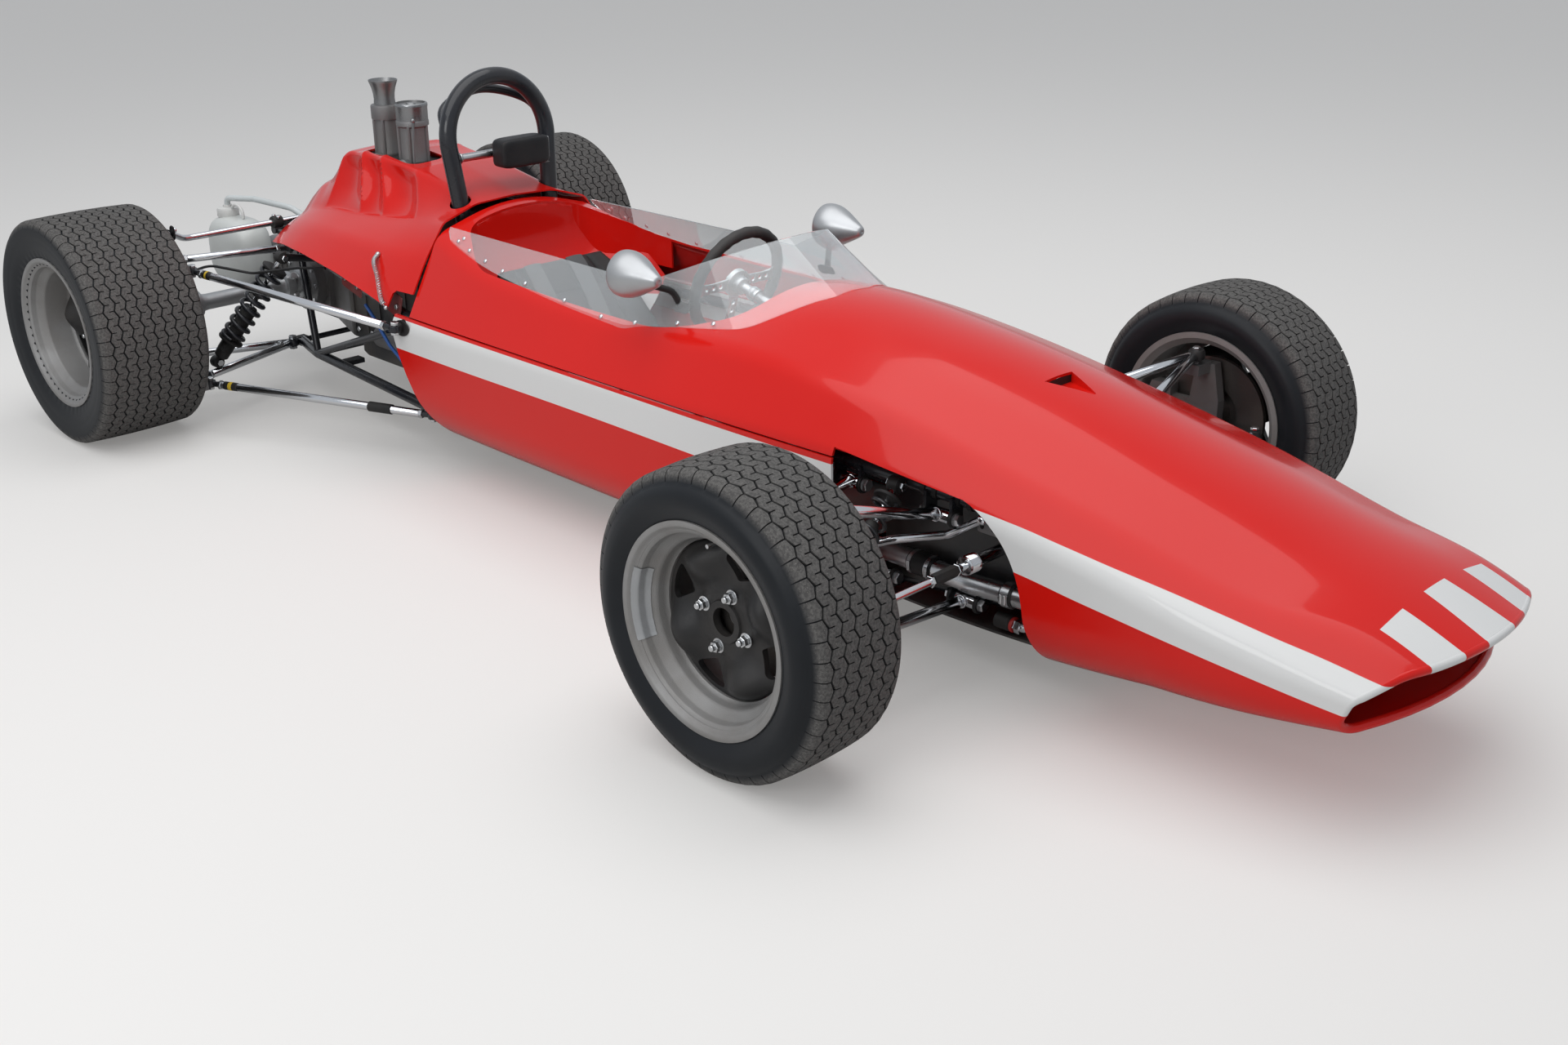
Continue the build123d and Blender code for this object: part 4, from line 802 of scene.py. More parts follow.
def rimForm(size):
    # barrel: flange, ledge, cone and inner wall, then its back up to the other flange
    half, plate = size["rim"], size["rim"] - size["dish"]
    profile = [
        (0.1822, half - 0.0004), (0.18, half), (0.1745, half), (0.1722, half - 0.0012), (0.17, half - 0.005),
        (0.164, half - 0.0105), (0.16, half - 0.0125), (0.1588, half - 0.015), (0.1578, half - 0.024),
        (0.156, half - 0.0275), (0.146, half - 0.0375), (0.1432, half - 0.0405), (0.142, half - 0.044),
        (0.1408, plate + 0.01), (0.139, plate + 0.005), (0.136, plate + 0.002), (0.136, plate - 0.011),
        (0.141, plate - 0.014), (0.158, plate - 0.032), (0.158, 0.012 - half), (0.171, -half), (0.183, -half),
        (0.183, 0.006 - half), (0.1655, 0.009 - half), (0.165, 0.03 - half), (0.165, plate - 0.026),
        (0.147, plate - 0.008), (0.147, half - 0.042), (0.165, half - 0.03), (0.165, half - 0.009),
        (0.1826, half - 0.006),
    ]
    q, a = arr(profile), angles(128)
    return gridForm(wheelGrid(size, q[None, :, 0], a[:, None], q[None, :, 1]), closeU=True, closeV=True)


def centreMesh(size):
    # dark centre: four bulging lobes between four windows, and a raised ring round the bore
    plate, turn = size["rim"] - size["dish"], math.radians(size["turn"])
    r = arr([0.0242, 0.0242, 0.0262, 0.033, 0.0352, 0.037, 0.042, 0.048, 0.054, 0.06, 0.066, 0.072, 0.078,
             0.084, 0.09, 0.096, 0.102, 0.108, 0.114, 0.119, 0.124, 0.128, 0.132, 0.135])
    base = np.interp(r, [0.024, 0.0352, 0.037, 0.054, 0.066, 0.136], [0.008, 0.008, 0.004, 0.004, -0.002, -0.002])
    base[0] -= 0.004
    a = angles(144)
    lobe = (0.5 + 0.5 * np.cos(4 * (a - turn - math.pi / 4))) ** 1.25
    rise = np.interp(r, [0.05, 0.062, 0.078, 0.094, 0.108, 0.12, 0.13, 0.135],
                     [0, 0.007, 0.022, 0.031, 0.032, 0.024, 0.009, 0])
    front = plate + base[None, :] + lobe[:, None] * rise[None, :]
    back = front - 0.011
    layers = np.concatenate([front, back[:, ::-1]], 1)
    grid = wheelGrid(size, np.concatenate([r, r[::-1]])[None, :], a[:, None], layers)
    mesh = meshData("centre", gridForm(grid, closeU=True, closeV=True))
    windows = []
    for k in range(4):
        q = roundedPlan([(0.08, 0.0, 0.006), (0.117, -0.045, 0.012), (0.131, 0.0, 0.06), (0.117, 0.045, 0.012)], 6)
        c, s = math.cos(turn + k * math.pi / 2), math.sin(turn + k * math.pi / 2)
        y = -size["track"] / 2 - plate
        windows.append(cutter(q @ [[c, s], [-s, c]] + [size["x"], size["radius"]], y - 0.05, y + 0.05))
    return carve(mesh, *windows)


def wheelFittings(size):
    # nuts with washers and stud ends, and the tyre valve
    plate, turn, out = size["rim"] - size["dish"], math.radians(size["turn"]), (0, -1, 0)
    bright = []
    for k in range(4):
        a = turn + k * math.pi / 2
        at = lambda t, r=0.0505: wheelGrid(size, r, a, plate + t)
        bright += [turnedForm([(12.5, 0), (12.5, 1.8), (12.2, 2), (6, 2)], at(0.0035), out, 24),
                   hexForm(at(0.0055), out, 0.0165, 0.0105, a),
                   turnedForm([(5.6, 0), (5.6, 5.5), (4.6, 6.8), (0, 6.8)], at(0.016), out, 16)]
    a = math.radians(95) + turn - math.radians(71)
    valve = wheelGrid(size, 0.1335, a, plate + 0.001)
    bright.append(turnedForm([(4.2, 0), (4.2, 6), (2.8, 8), (2.8, 22), (3.6, 22.5), (3.6, 28), (0, 29)], valve,
                             out, 14))
    return merge(bright)


def setWorn(obj, worn):
    # keeps how worn each point is, in the order of the form's points
    layer = obj.data.attributes.new("worn", "FLOAT", "POINT")
    layer.data.foreach_set("value", worn.astype(np.float32))


def tapePatch(size):
    # strip of silver tape over the ledge inside the near rim, a little wrinkled
    profile = arr([(0.169, -0.006), (0.164, -0.0098), (0.1602, -0.0119), (0.1584, -0.015), (0.1574, -0.024),
                   (0.1552, -0.0275), (0.15, -0.0328)])
    a = np.radians(np.linspace(158, 204, 40))
    wrinkle = 0.0004 * np.sin(a[:, None] * 90 + profile[None, :, 0] * 900) + 0.0003 * np.sin(a[:, None] * 37)
    r = profile[None, :, 0] - 0.0008 - wrinkle * 0.6
    return sheetForm(wheelGrid(size, r, a[:, None], size["rim"] + profile[None, :, 1] + 0.0006), 0.0003)


def sheetForm(grid, thick):
    # closed thin shell: the grid, the same grid moved along its normals, and a strip round the edge
    n, m = grid.shape[:2]
    normal = np.cross(np.gradient(grid, axis=0), np.gradient(grid, axis=1))
    normal /= np.linalg.norm(normal, axis=2)[:, :, None] + 1e-12
    v = np.concatenate([grid.reshape(-1, 3), (grid - normal * thick).reshape(-1, 3)])
    f = gridForm(grid)[1]
    i = np.arange(n * m).reshape(n, m)
    rim = np.concatenate([i[0, :], i[1:, -1], i[-1, -2::-1], i[-2:0:-1, 0]])
    nxt = np.roll(rim, -1)
    strip = np.stack([rim, nxt, nxt + n * m, rim + n * m], 1)
    return v, np.concatenate([f, f[:, ::-1] + n * m, strip])


def buildWheels():
    for end, size in tyreSizes.items():
        rubber, worn = tyreForm(size)
        metal, centre, fittings = rimForm(size), centreMesh(size), wheelFittings(size)
        for side in ("right", "left"):
            own = mirrorY if side == "left" else lambda form: form
            body, name = f"{end}_wheel_{side}", f"{end}{side.title()}"
            setWorn(piece(name + "Tyre", own(rubber), "rubber", body, [f"{end}_{side}_tyre"], 50), worn)
            piece(name + "Rim", own(metal), "wheelGrey", body, [f"{end}_{side}_rim"], 40)
            piece(name + "Centre", mirrorMesh(centre) if side == "left" else centre.copy(), "wheelDark", body,
                  angle=40)
            piece(name + "Nuts", own(fittings), "brushed", body, angle=30)
    piece("wheelTape", tapePatch(tyreSizes["front"]), "tape", "front_wheel_right", angle=60)


buildWheels()
print("wheels")


# Engine cover. Rows: distance behind its joint, then half width and height of its edge, its
# shelf, the foot of its bulge and the bulge itself
coverRows = arr([
    (0.0035, 0.332, 0.372, 0.264, 0.492, 0.206, 0.574, 0.112, 0.603),
    (0.06, 0.33, 0.388, 0.266, 0.493, 0.196, 0.566, 0.112, 0.618),
    (0.15, 0.325, 0.406, 0.266, 0.494, 0.182, 0.556, 0.112, 0.636),
    (0.23, 0.319, 0.417, 0.262, 0.494, 0.176, 0.545, 0.116, 0.65),
    (0.3, 0.312, 0.426, 0.257, 0.494, 0.173, 0.537, 0.119, 0.66),
    (0.4, 0.303, 0.434, 0.25, 0.492, 0.17, 0.528, 0.119, 0.664),
    (0.5, 0.29, 0.439, 0.238, 0.489, 0.166, 0.522, 0.114, 0.66),
    (0.56, 0.282, 0.439, 0.229, 0.485, 0.162, 0.517, 0.106, 0.648),
    (0.6, 0.275, 0.438, 0.223, 0.481, 0.16, 0.512, 0.102, 0.606),
    (0.64, 0.268, 0.436, 0.217, 0.476, 0.156, 0.506, 0.098, 0.575),
    (0.7, 0.258, 0.43, 0.208, 0.466, 0.148, 0.494, 0.095, 0.548),
    (0.76, 0.247, 0.424, 0.198, 0.452, 0.138, 0.474, 0.088, 0.512),
])
coverSizes = {"wall": 0.004, "shelfTurn": 0.02, "footTurn": 0.011, "bulgeTurn": 0.015, "flute": 0.024,
              "lipBack": 0.05, "carbX": -1.011, "carbY": -0.05, "holeX": 0.112, "holeY": 0.05}
# each flute's ends at the foot and at the bulge's top edge, as distances behind the joint
flutes = [((0.41, 0.59), (0.463, 0.566)), ((0.305, 0.41), (0.379, 0.463)), ((0.15, 0.305), (0.235, 0.379))]


def turnedCorner(prev, here, nxt, reach, steps):
    # a corner rounded by a parabola that starts and ends reach away from it
    back, on = unit(prev - here), unit(nxt - here)
    s = np.linspace(0, 1, steps)[None, :, None]
    return parabola((here + back * reach)[:, None], here[:, None], (here + on * reach)[:, None], s)


def coverGrid():
    # half outlines from the lower edge over shelf, foot and bulge to the middle, then mirrored
    b = np.concatenate([[0.0035], np.linspace(0.008, 0.76, 150)])
    table = smoothRows(coverRows[:, 0], coverRows[:, 1:], b)
    edge, shelf, foot, bulge = (table[:, k:k + 2] for k in (0, 2, 4, 6))
    top = np.stack([0 * b, bulge[:, 1] + 0.005], 1)
    lip = edge + [0.004, -0.004]
    turns = [turnedCorner(lip, edge, shelf, 0.005, 5),
             turnedCorner(edge, shelf, foot, coverSizes["shelfTurn"], 12),
             turnedCorner(shelf, foot, bulge, coverSizes["footTurn"], 12),
             turnedCorner(foot, bulge, top, coverSizes["bulgeTurn"], 12)]
    parts = []
    for k, turn in enumerate(turns):
        if k:
            s = np.linspace(0, 1, 12 if k == 3 else 9)[None, 1:-1, None]
            parts.append(parts[-1][:, -1:] * (1 - s) + turn[:, :1] * s)
        parts.append(turn)
    s = np.linspace(0, 1, 9)[None, 1:, None]
    parts.append(parts[-1][:, -1:] * (1 - s) + top[:, None] * s)
    p = np.concatenate(parts, 1)
    t = np.gradient(p, axis=1)
    out = unit(np.stack([t[..., 1], -t[..., 0]], 2))
    # how far up the flank each point is, and how deep the flute is there
    g = np.clip((p[..., 1] - foot[:, None, 1]) / (bulge - foot)[:, None, 1], -1, 2)
    g = np.where((p[..., 0] < foot[:, None, 0] + 0.01), g, 0)
    rise = np.clip(g * 2.4, 0, 1) ** 0.6 * np.clip((1.1 - g) * 2.6, 0, 1)
    deep = 0 * g
    for low, high in flutes:
        ends = [low[k] + (high[k] - low[k]) * np.clip(g, 0, 1) for k in (0, 1)]
        s = np.clip((b[:, None] - ends[0]) / (ends[1] - ends[0]), 0, 1)
        deep += np.sin(math.pi * s) ** 0.8
    strength = np.clip((bulge - foot)[:, None, 1] / 0.1, 0, 1)
    p = p - out * (coverSizes["flute"] * deep * rise * strength)[..., None]
    p[:, -1, 0] = 0
    low = 1 - np.clip((p[..., 1] - edge[:, None, 1]) / (top - edge)[:, None, 1], 0, 1)
    x = coverX - b[:, None] + coverSizes["lipBack"] * low * np.clip((b[:, None] - 0.52) / 0.24, 0, 1) ** 1.5
    half = np.concatenate([x[..., None], p], 2)
    return np.concatenate([half, half[:, -2::-1] * [1, -1, 1]], 1)


hoopSizes = {"footY": 0.108, "topY": 0.152, "footZ": 0.3618, "rise": 0.5102, "back": 0.052, "leg": 0.5128}


def hoopPath():
    # legs that lean back and a true half circle over them
    h = hoopSizes
    foot, top = (h["footY"], 0.0), (h["topY"], h["leg"])
    corners = [(k * x, y, 0.138) for k, (x, y) in ((1, foot), (1, top), (-1, top), (-1, foot))]
    flat = roundedPlan(corners, 26, closed=False)
    up = unit([-h["back"], 0, h["rise"]])
    return arr([coverX - 0.016, 0, h["footZ"]]) + flat[:, :1] * leftward + flat[:, 1:] * up


def hoopLegAt(z):
    # the left leg's middle line at a height
    h = hoopSizes
    s = (z - h["footZ"]) / h["rise"]
    return arr([coverX - 0.016 - h["back"] * s, h["footY"] + (h["topY"] - h["footY"]) * s, z])


def cylinderMesh(a, b, radius):
    run = arr(b) - arr(a)
    return meshData("cutterRod", latheForm([(radius, 0), (radius, np.linalg.norm(run))], a, run, 40))


def buildCover():
    s = coverSizes
    shell = meshData("coverShell", sheetForm(coverGrid(), s["wall"]), 40)
    hole = roundedRect(2 * s["holeX"], 2 * s["holeY"], 0.03) + [s["carbX"], s["carbY"]]
    notch = [(-0.7, 0.34), (-0.6, 0.34), (-0.6, 0.424), (-0.69, 0.424), (-0.7, 0.416)]
    legs = [cylinderMesh(hoopLegAt(0.42) * [1, k, 1], hoopLegAt(0.7) * [1, k, 1], 0.0255) for k in (1, -1)]
    notches = [cutter(notch, *sorted((k * 0.27, k * 0.4))) for k in (1, -1)]
    cut = carve(shell, cutter(hole, 0.5, 0.75, "z"), *notches, *legs)
    cover = piece("engineCover", cut, "redPaint", replaces=["engine_cover"], angle=32)
    # rubber skirt round the induction bodies, just inside the hole
    skirt = roundedRect(2 * s["holeX"] + 0.012, 2 * s["holeY"] + 0.012, 0.034) + [s["carbX"], s["carbY"]]
    piece("coverSkirt", slabForm(skirt, (0, 0, 0.648), ahead, leftward, 0.006), "blackTrim")
    # sprung catches on the near and far edges
    a, b = arr([-0.804, -0.277, 0.484]), arr([-0.697, -0.336, 0.388])
    path = np.vstack([a, a + [0.012, -0.02, -0.012], a * 0.6 + b * 0.4 + [0, -0.01, 0.0],
                      b + [-0.01, -0.004, 0.02], b])
    run = smoothRows(np.linspace(0, 1, 5), path, np.linspace(0, 1, 60))
    turn = np.linspace(0, 30 * 2 * math.pi, 600)
    core = smoothRows(np.linspace(0, 1, 5), path, np.linspace(0.06, 0.86, 600))
    u, v = pathFrames(core)
    coil = core + 0.0048 * circle(turn, u, v)
    catches = [tubeForm(coil, 0.0011, 6), tubeForm(run[48:], 0.0016, 8), ballForm(a, 0.0062), ballForm(b, 0.005)]
    piece("coverCatches", both(catches), "brushed", angle=50)
    return cover


cover = buildCover()
hoop = hoopPath()
crossAt = hoopLegAt(0.7)
barX = crossAt[0]
braceKnots = arr([(coverX - 0.058, -0.141, 0.762), (coverX - 0.098, -0.116, 0.806),
                  (coverX - 0.118, 0.0, 0.838), (coverX - 0.098, 0.116, 0.806), (coverX - 0.058, 0.141, 0.762)])
stay = smoothRows(arr([0.0, 0.22, 0.5, 0.78, 1.0]), braceKnots, np.linspace(0, 1, 40))
weld = [turnedForm([(9.6, 0), (12.8, 1.5), (13.5, 3.5), (11.8, 6.5), (9.6, 8.5)],
                   (barX, s * (crossAt[1] - 0.0185), 0.7), (0, -s, 0), 24) for s in (1, -1)]
piece("rollHoop", [tubeForm(hoop, 0.02, 28), tubeForm(stay, 0.0105, 16)], "framePaint", replaces=["roll_hoop"],
      angle=50)
piece("hoopCross", [rodForm((barX, -crossAt[1] + 0.012, 0.7), (barX, crossAt[1] - 0.012, 0.7), 0.0095, 20),
                    *weld], "brushed")

# Headrest: a padded block with a bare end bracket
headrestSizes = {"middle": (barX + 0.0375, 0.033, 0.703), "size": (0.056, 0.142, 0.07), "round": 0.00605,
                 "swell": -0.002}


def pillowForm(middle, size, turn, puff, steps):
    # superellipsoid box whose faces swell a little
    a, b = np.linspace(-math.pi / 2, math.pi / 2, steps)[:, None], angles(2 * steps)[None, :]
    e = 2 * turn / min(size) + 0.1
    power = lambda value: np.sign(value) * np.abs(value) ** e
    x, y, z = np.broadcast_arrays(power(np.cos(a)) * power(np.cos(b)), power(np.cos(a)) * power(np.sin(b)),
                                  power(np.sin(a)))
    p = np.stack([x, y, z], 2) * arr(size) / 2
    swell = 1 - np.maximum(np.abs(x), np.maximum(np.abs(y), np.abs(z)))
    p *= (1 + puff / min(size) * (1 - swell))[..., None]
    return gridForm(p + middle, closeV=True)


h = headrestSizes
headrest = piece("headrestPad", pillowForm(h["middle"], h["size"], h["round"], h["swell"], 30), "padCover",
                 replaces=["headrest"], angle=60)
hx, hy, hz = h["middle"]
bracket = [plateForm(0.034, 0.052, 0.004, (hx - 0.006, hy + 0.0735, hz), ahead, upward, 0.003),
           hexForm((hx - 0.004, hy + 0.0748, hz + 0.01), leftward, 0.01, 0.005),
           plateForm(0.03, 0.03, 0.003, (hx - 0.01, hy + 0.064, hz - 0.0355), ahead, leftward, 0.002)]
piece("headrestBracket", bracket, "castAlloy")

# Induction bodies: rear one with a flared open trumpet, front one wide with a bright cap
carbX, carbY = coverSizes["carbX"], coverSizes["carbY"]


def carbForms():
    grey, bright = [], []
    grey.append(plateForm(0.196, 0.092, 0.02, (carbX, carbY, 0.573), ahead, leftward, 0.024, 0.003))
    rear, front = carbX - 0.064, carbX + 0.05
    at = lambda x, y, z: arr([carbX + x, carbY + y, z])
    body = [(30, 0), (36, 4), (36, 12), (31, 16), (30, 60), (31.5, 64), (31.5, 70), (29.5, 74), (29.5, 150),
            (30, 154)]
    collar = [(29, 738), (34.5, 738.5), (35.2, 740), (35.2, 768), (34, 771.5), (30, 773), (26.2, 773.5),
              (26.2, 738)]
    trumpet = [(26.2, 764), (26.2, 776), (25.2, 786), (26.2, 799), (29, 812), (33.5, 824.5), (35.2, 829),
               (35.2, 831.5), (33.5, 831.5), (31.2, 824.5), (26.8, 812), (24, 799), (22.8, 786), (22.8, 764)]
    wide = [(36, 0), (42, 3), (42, 14), (36, 18), (34.5, 40), (36.5, 44), (36.5, 52), (34.5, 56), (34.5, 144),
            (39.5, 148), (39.5, 158), (38, 161), (37, 162)]
    cap = [(36.5, 747), (38.5, 749), (38.5, 778), (39.5, 781), (39.5, 786.5), (38, 788.5), (34, 789),
           (33.5, 785), (12, 785), (10, 788), (0, 788.5)]
    for forms, profile, x, z, sides in (
            (grey, body, rear, 0.588, 40), (grey, collar, rear, 0, 48), (bright, trumpet, rear, 0, 56),
            (grey, wide, front, 0.588, 48), (bright, cap, front, 0, 56)):
        forms.append(turnedForm(profile, (x, carbY, z), upward, sides))
    # ribs and lugs down the bodies, mounting bolts, float bowls, unions and the linkage
    for x, r in ((rear, 0.0305), (front, 0.036)):
        for a in (0.5, 1.9, 3.4, 4.4, 5.4):
            out = arr([math.cos(a), math.sin(a), 0])
            foot = arr([x, carbY, 0]) + out * r
            grey.append(rodForm(foot + [0, 0, 0.594], foot + [0, 0, 0.736], 0.0042, 8))
            bright += [hexForm(foot + [0, 0, 0.736], upward, 0.0075, 0.005, a),
                       hexForm(foot + out * 0.01 + [0, 0, 0.601], upward, 0.009, 0.006, a)]
    for x in (rear, front):
        grey.append(turnedForm([(0, 0), (16, 1), (17, 4), (17, 30), (12, 34), (0, 34)],
                               (x + 0.01, carbY - 0.019, 0.64), (0.2, -1, 0.1), 24))
        bright += [hexForm((x + 0.0136, carbY - 0.0435, 0.6414), (0.2, -1, 0.1), 0.011, 0.006),
                   rodForm((x - 0.016, carbY - 0.02, 0.622), (x - 0.022, carbY - 0.036, 0.619), 0.004, 12)]
    bright += [rodForm(at(-0.092, -0.034, 0.612), at(0.098, -0.034, 0.612), 0.0032, 10),
               rodForm(at(0.094, -0.034, 0.612), at(0.086, -0.022, 0.752), 0.0028, 8),
               ballForm(at(0.086, -0.022, 0.752), 0.0055, sides=12),
               plateForm(0.036, 0.012, 0.005, at(0, -0.034, 0.62), (0.5, 0, 0.86), (0.86, 0, -0.5), 0.003)]
    return grey, bright


greyParts, brightParts = carbForms()
piece("carburettorBodies", greyParts, "castAlloy", replaces=["carburettors"], angle=38)
piece("carburettorBright", brightParts, "worked", angle=38)

# Screen: a cone between a foot plan and a head plan, standing on the body, low beside the driver
screenSizes = {"wall": 0.003, "footZ": 0.47, "headZ": 0.6, "sideZ": 0.568, "peakZ": 0.705}
screenFoot = [(coverX + 0.024, 0.262, 0.06), (frontX - 0.76, 0.278, 0.3), (frontX - 0.42, 0.236, 0.12),
              (frontX - 0.262, 0.06, 0.056)]
screenHead = [(coverX + 0.024, 0.186, 0.06), (frontX - 0.8, 0.196, 0.3), (frontX - 0.56, 0.166, 0.1),
              (frontX - 0.462, 0.046, 0.044)]


def screenPlan(grow):
    # the open plan of the cone at a share of the way from foot to head, rear right round to rear left
    rows = [arr(a) + (arr(b) - arr(a)) * grow for a, b in zip(screenFoot, screenHead)]
    half = [(r[0], r[1], max(r[2], 0.03)) for r in rows]
    return roundedPlan([(x, -y, r) for x, y, r in half] + half[::-1], 14, closed=False)


def bodyTopZ(x, y):
    # height of the body's outside above points (x, y) near its top
    half = bodySections(x)[0]
    upper = [h[h[:, 0].argmax():] for h in half]
    return arr([np.interp(-abs(b), -h[:, 0], h[:, 1]) for h, b in zip(upper, y)])


def screenTop(x):
    # height of the top edge along the car
    side, peak = screenSizes["sideZ"], screenSizes["peakZ"]
    return np.interp(x, [frontX - 0.81, frontX - 0.79, frontX - 0.77, frontX - 0.47, 1.0],
                     [side, side + 0.0015, side + 0.009, peak, peak + 0.015])


def screenGrid():
    count, rows = 150, 26
    low, high = evenly(screenPlan(-0.3), count), evenly(screenPlan(1.8), count)
    zs = screenSizes["footZ"] + (screenSizes["headZ"] - screenSizes["footZ"]) * arr([-0.3, 1.8])
    body = lambda xy: bodyTopZ(xy[:, 0], xy[:, 1]) + 0.0008
    limits = []
    # solved by halving: where the cone meets the body, and where it reaches the top edge's height
    for target in (body, lambda xy: screenTop(xy[:, 0])):
        a, b = np.zeros(count), np.ones(count)
        for _ in range(26):
            m = 0.5 * (a + b)
            above = zs[0] + (zs[1] - zs[0]) * m - target(low + (high - low) * m[:, None])
            a, b = np.where(above < 0, m, a), np.where(above < 0, b, m)
        limits.append(0.5 * (a + b))
    lowest, highest = limits
    highest = np.maximum(highest, lowest + 0.002)
    # rounded lower rear corner: the first points of each side start higher
    d = np.minimum(np.arange(count), np.arange(count)[::-1]) / count * 3.4
    lift = np.where(d < 0.032, 0.032 - np.sqrt(np.maximum(0.032 ** 2 - (0.032 - d) ** 2, 0)), 0)
    lowest = lowest + np.minimum(lift / 0.273, 0.6 * (highest - lowest))
    s = np.linspace(0, 1, rows)[:, None]
    t = lowest[None, :] + (highest - lowest)[None, :] * s
    xy = low[None] + (high - low)[None] * t[..., None]
    z = zs[0] + (zs[1] - zs[0]) * t
    return np.concatenate([xy, z[..., None]], 2)


screenP = screenGrid()
# rivets a little above the foot, square to the sheet
normals = unit(np.cross(np.gradient(screenP, axis=0), np.gradient(screenP, axis=1)))
outward = np.where((normals[..., :2] * (screenP[..., :2] - [0.1, 0])).sum(-1, keepdims=True) < 0, -normals, normals)
inward = 1 if (normals * outward).sum() > 0 else -1
piece("screenSheet", sheetForm(screenP, inward * screenSizes["wall"] * 0.8), "screen", replaces=["windscreen"],
      angle=40)
rivetHeight, spots = 0.012, []
along = np.concatenate([[0], np.cumsum(np.linalg.norm(np.diff(screenP[0], axis=0), axis=1))])
for distance in (0.052, 0.118, 0.188, 0.262, 0.34, 0.5, 0.62, 0.73, 0.835, 0.925):
    for length in (distance, along[-1] - distance):
        k = int(np.argmin(np.abs(along - length)))
        column = screenP[:, k]
        r = int(np.argmin(np.abs(np.linalg.norm(column - column[0], axis=1) - rivetHeight)))
        spots.append((r, k))
spots += [(15, k) for k in (4, len(along) - 5)]
rivets = [turnedForm([(5, 0), (5, 0.8), (4, 2.2), (2.2, 3.1), (0, 3.4)], screenP[at] + outward[at] * 0.0002,
                     outward[at], 16) for at in spots]
piece("screenRivets", rivets, "chrome", angle=50)

# Mirrors: bullet shells with a drawn-in tip, glass to the rear, on short dark stalks
mirrorAt = arr([frontX - 0.725, -0.288, 0.604])
pod = [(39.5, -44.5), (43.5, -46), (45.5, -44), (46.6, -39), (47, -30), (46.2, -21), (43.6, -11), (39, 2),
       (33, 17), (26.5, 33), (20.5, 47.5), (15, 60), (11.8, 66.8), (9.8, 69.8), (7.5, 71.5), (4, 71.8),
       (3.6, 70), (0, 70)]
pod = [(r, t if t < 0 else 0.84 * t) for r, t in pod]
shell = turnedForm([(0, -40.5), (39, -40.5), *pod], mirrorAt, ahead, 56)
piece("mirrorShells", both(shell), "satin", replaces=["mirrors"], angle=38)
piece("mirrorGlasses", both(turnedForm([(0, -41), (37.5, -41), (38.5, -40.5), (0, -40)], mirrorAt, ahead, 48)),
      "mirrorFace", angle=30)
stalk = rounded([mirrorAt + [0.004, 0.024, -0.02], mirrorAt + [0.026, 0.064, -0.036],
                 mirrorAt + [0.034, 0.0805, -0.072]], 0.03)
foot = plateForm(0.044, 0.022, 0.008, mirrorAt + [0.034, 0.0815, -0.072], ahead, (0, 0.5, 0.86), 0.003)
piece("mirrorStalks", both([tubeForm(stalk, 0.0068, 16), foot]), "blackTrim")
print("top pieces", len(cover.data.polygons))


# Red moulding from the rear of the cockpit's edge down to the head of the seat
mouldKnots = arr([(-0.5985, 0.59, 0.152), (-0.593, 0.5, 0.165), (-0.566, 0.436, 0.206), (-0.515, 0.402, 0.232),
                  (-0.45, 0.362, 0.244), (-0.39, 0.3, 0.246)])
t = np.linspace(-1, 1, 49)[None, :]
knots = smoothRows(np.linspace(0, 1, 6), mouldKnots, np.linspace(0, 1, 48))[:, None, :]
mouldCurl = np.interp(np.linspace(0, 1, 48), [0, 0.35, 0.6, 1], [0.004, 0.035, 0.075, 0.11])[:, None]
mouldX, mouldY, mouldZ = np.broadcast_arrays(knots[..., 0], knots[..., 2] * t,
                                             knots[..., 1] + mouldCurl * np.abs(t) ** 5)
roof = bodyTopZ(mouldX[:, 0], 0 * mouldX[:, 0])[:, None] + bodyTopZ(mouldX[0, 0] + 0 * t[0],
                                                                    mouldY[0])[None] - 0.005
roof = roof - bodyTopZ(mouldX[:1, 0], 0 * mouldX[:1, 0])
mouldGrid = np.stack([mouldX, mouldY, np.minimum(mouldZ, roof)], -1)
piece("seatMoulding", sheetForm(mouldGrid, 0.003), "redPaint")


# Seat: a reclined shell with sewn channels across it. The profile runs down the back and along
# the squab as (x, z); the sides curl up
seatSizes = {"half": 0.166, "curl": 0.052, "channels": 9, "puff": 0.007, "thick": 0.016}
seatProfile = arr([(-0.512, 0.466), (-0.45, 0.396), (-0.378, 0.298), (-0.305, 0.212), (-0.22, 0.16),
                   (-0.12, 0.136), (-0.02, 0.14), (0.06, 0.158), (0.122, 0.176)])


def seatGrid(s, t, lift=0.0):
    # s runs down the profile from 0 to 1, t across it from -1 to 1; lift is square to the profile
    p = smoothRows(np.linspace(0, 1, len(seatProfile)), seatProfile, s)
    d = np.gradient(p, axis=0)
    n = unit(np.stack([-d[:, 1], d[:, 0]], 1))
    width = seatSizes["half"] * (1 - 0.1 * np.clip(1 - s * 6, 0, 1) ** 2)
    rise = lift + seatSizes["curl"] * np.abs(t[None, :]) ** 4 * np.clip(s[:, None] * 4, 0, 1)
    xz = p[:, None] + n[:, None] * np.broadcast_to(rise, (len(s), len(t)))[..., None]
    y = width[:, None] * t[None, :]
    return np.stack([xz[..., 0], y, xz[..., 1]], 2)


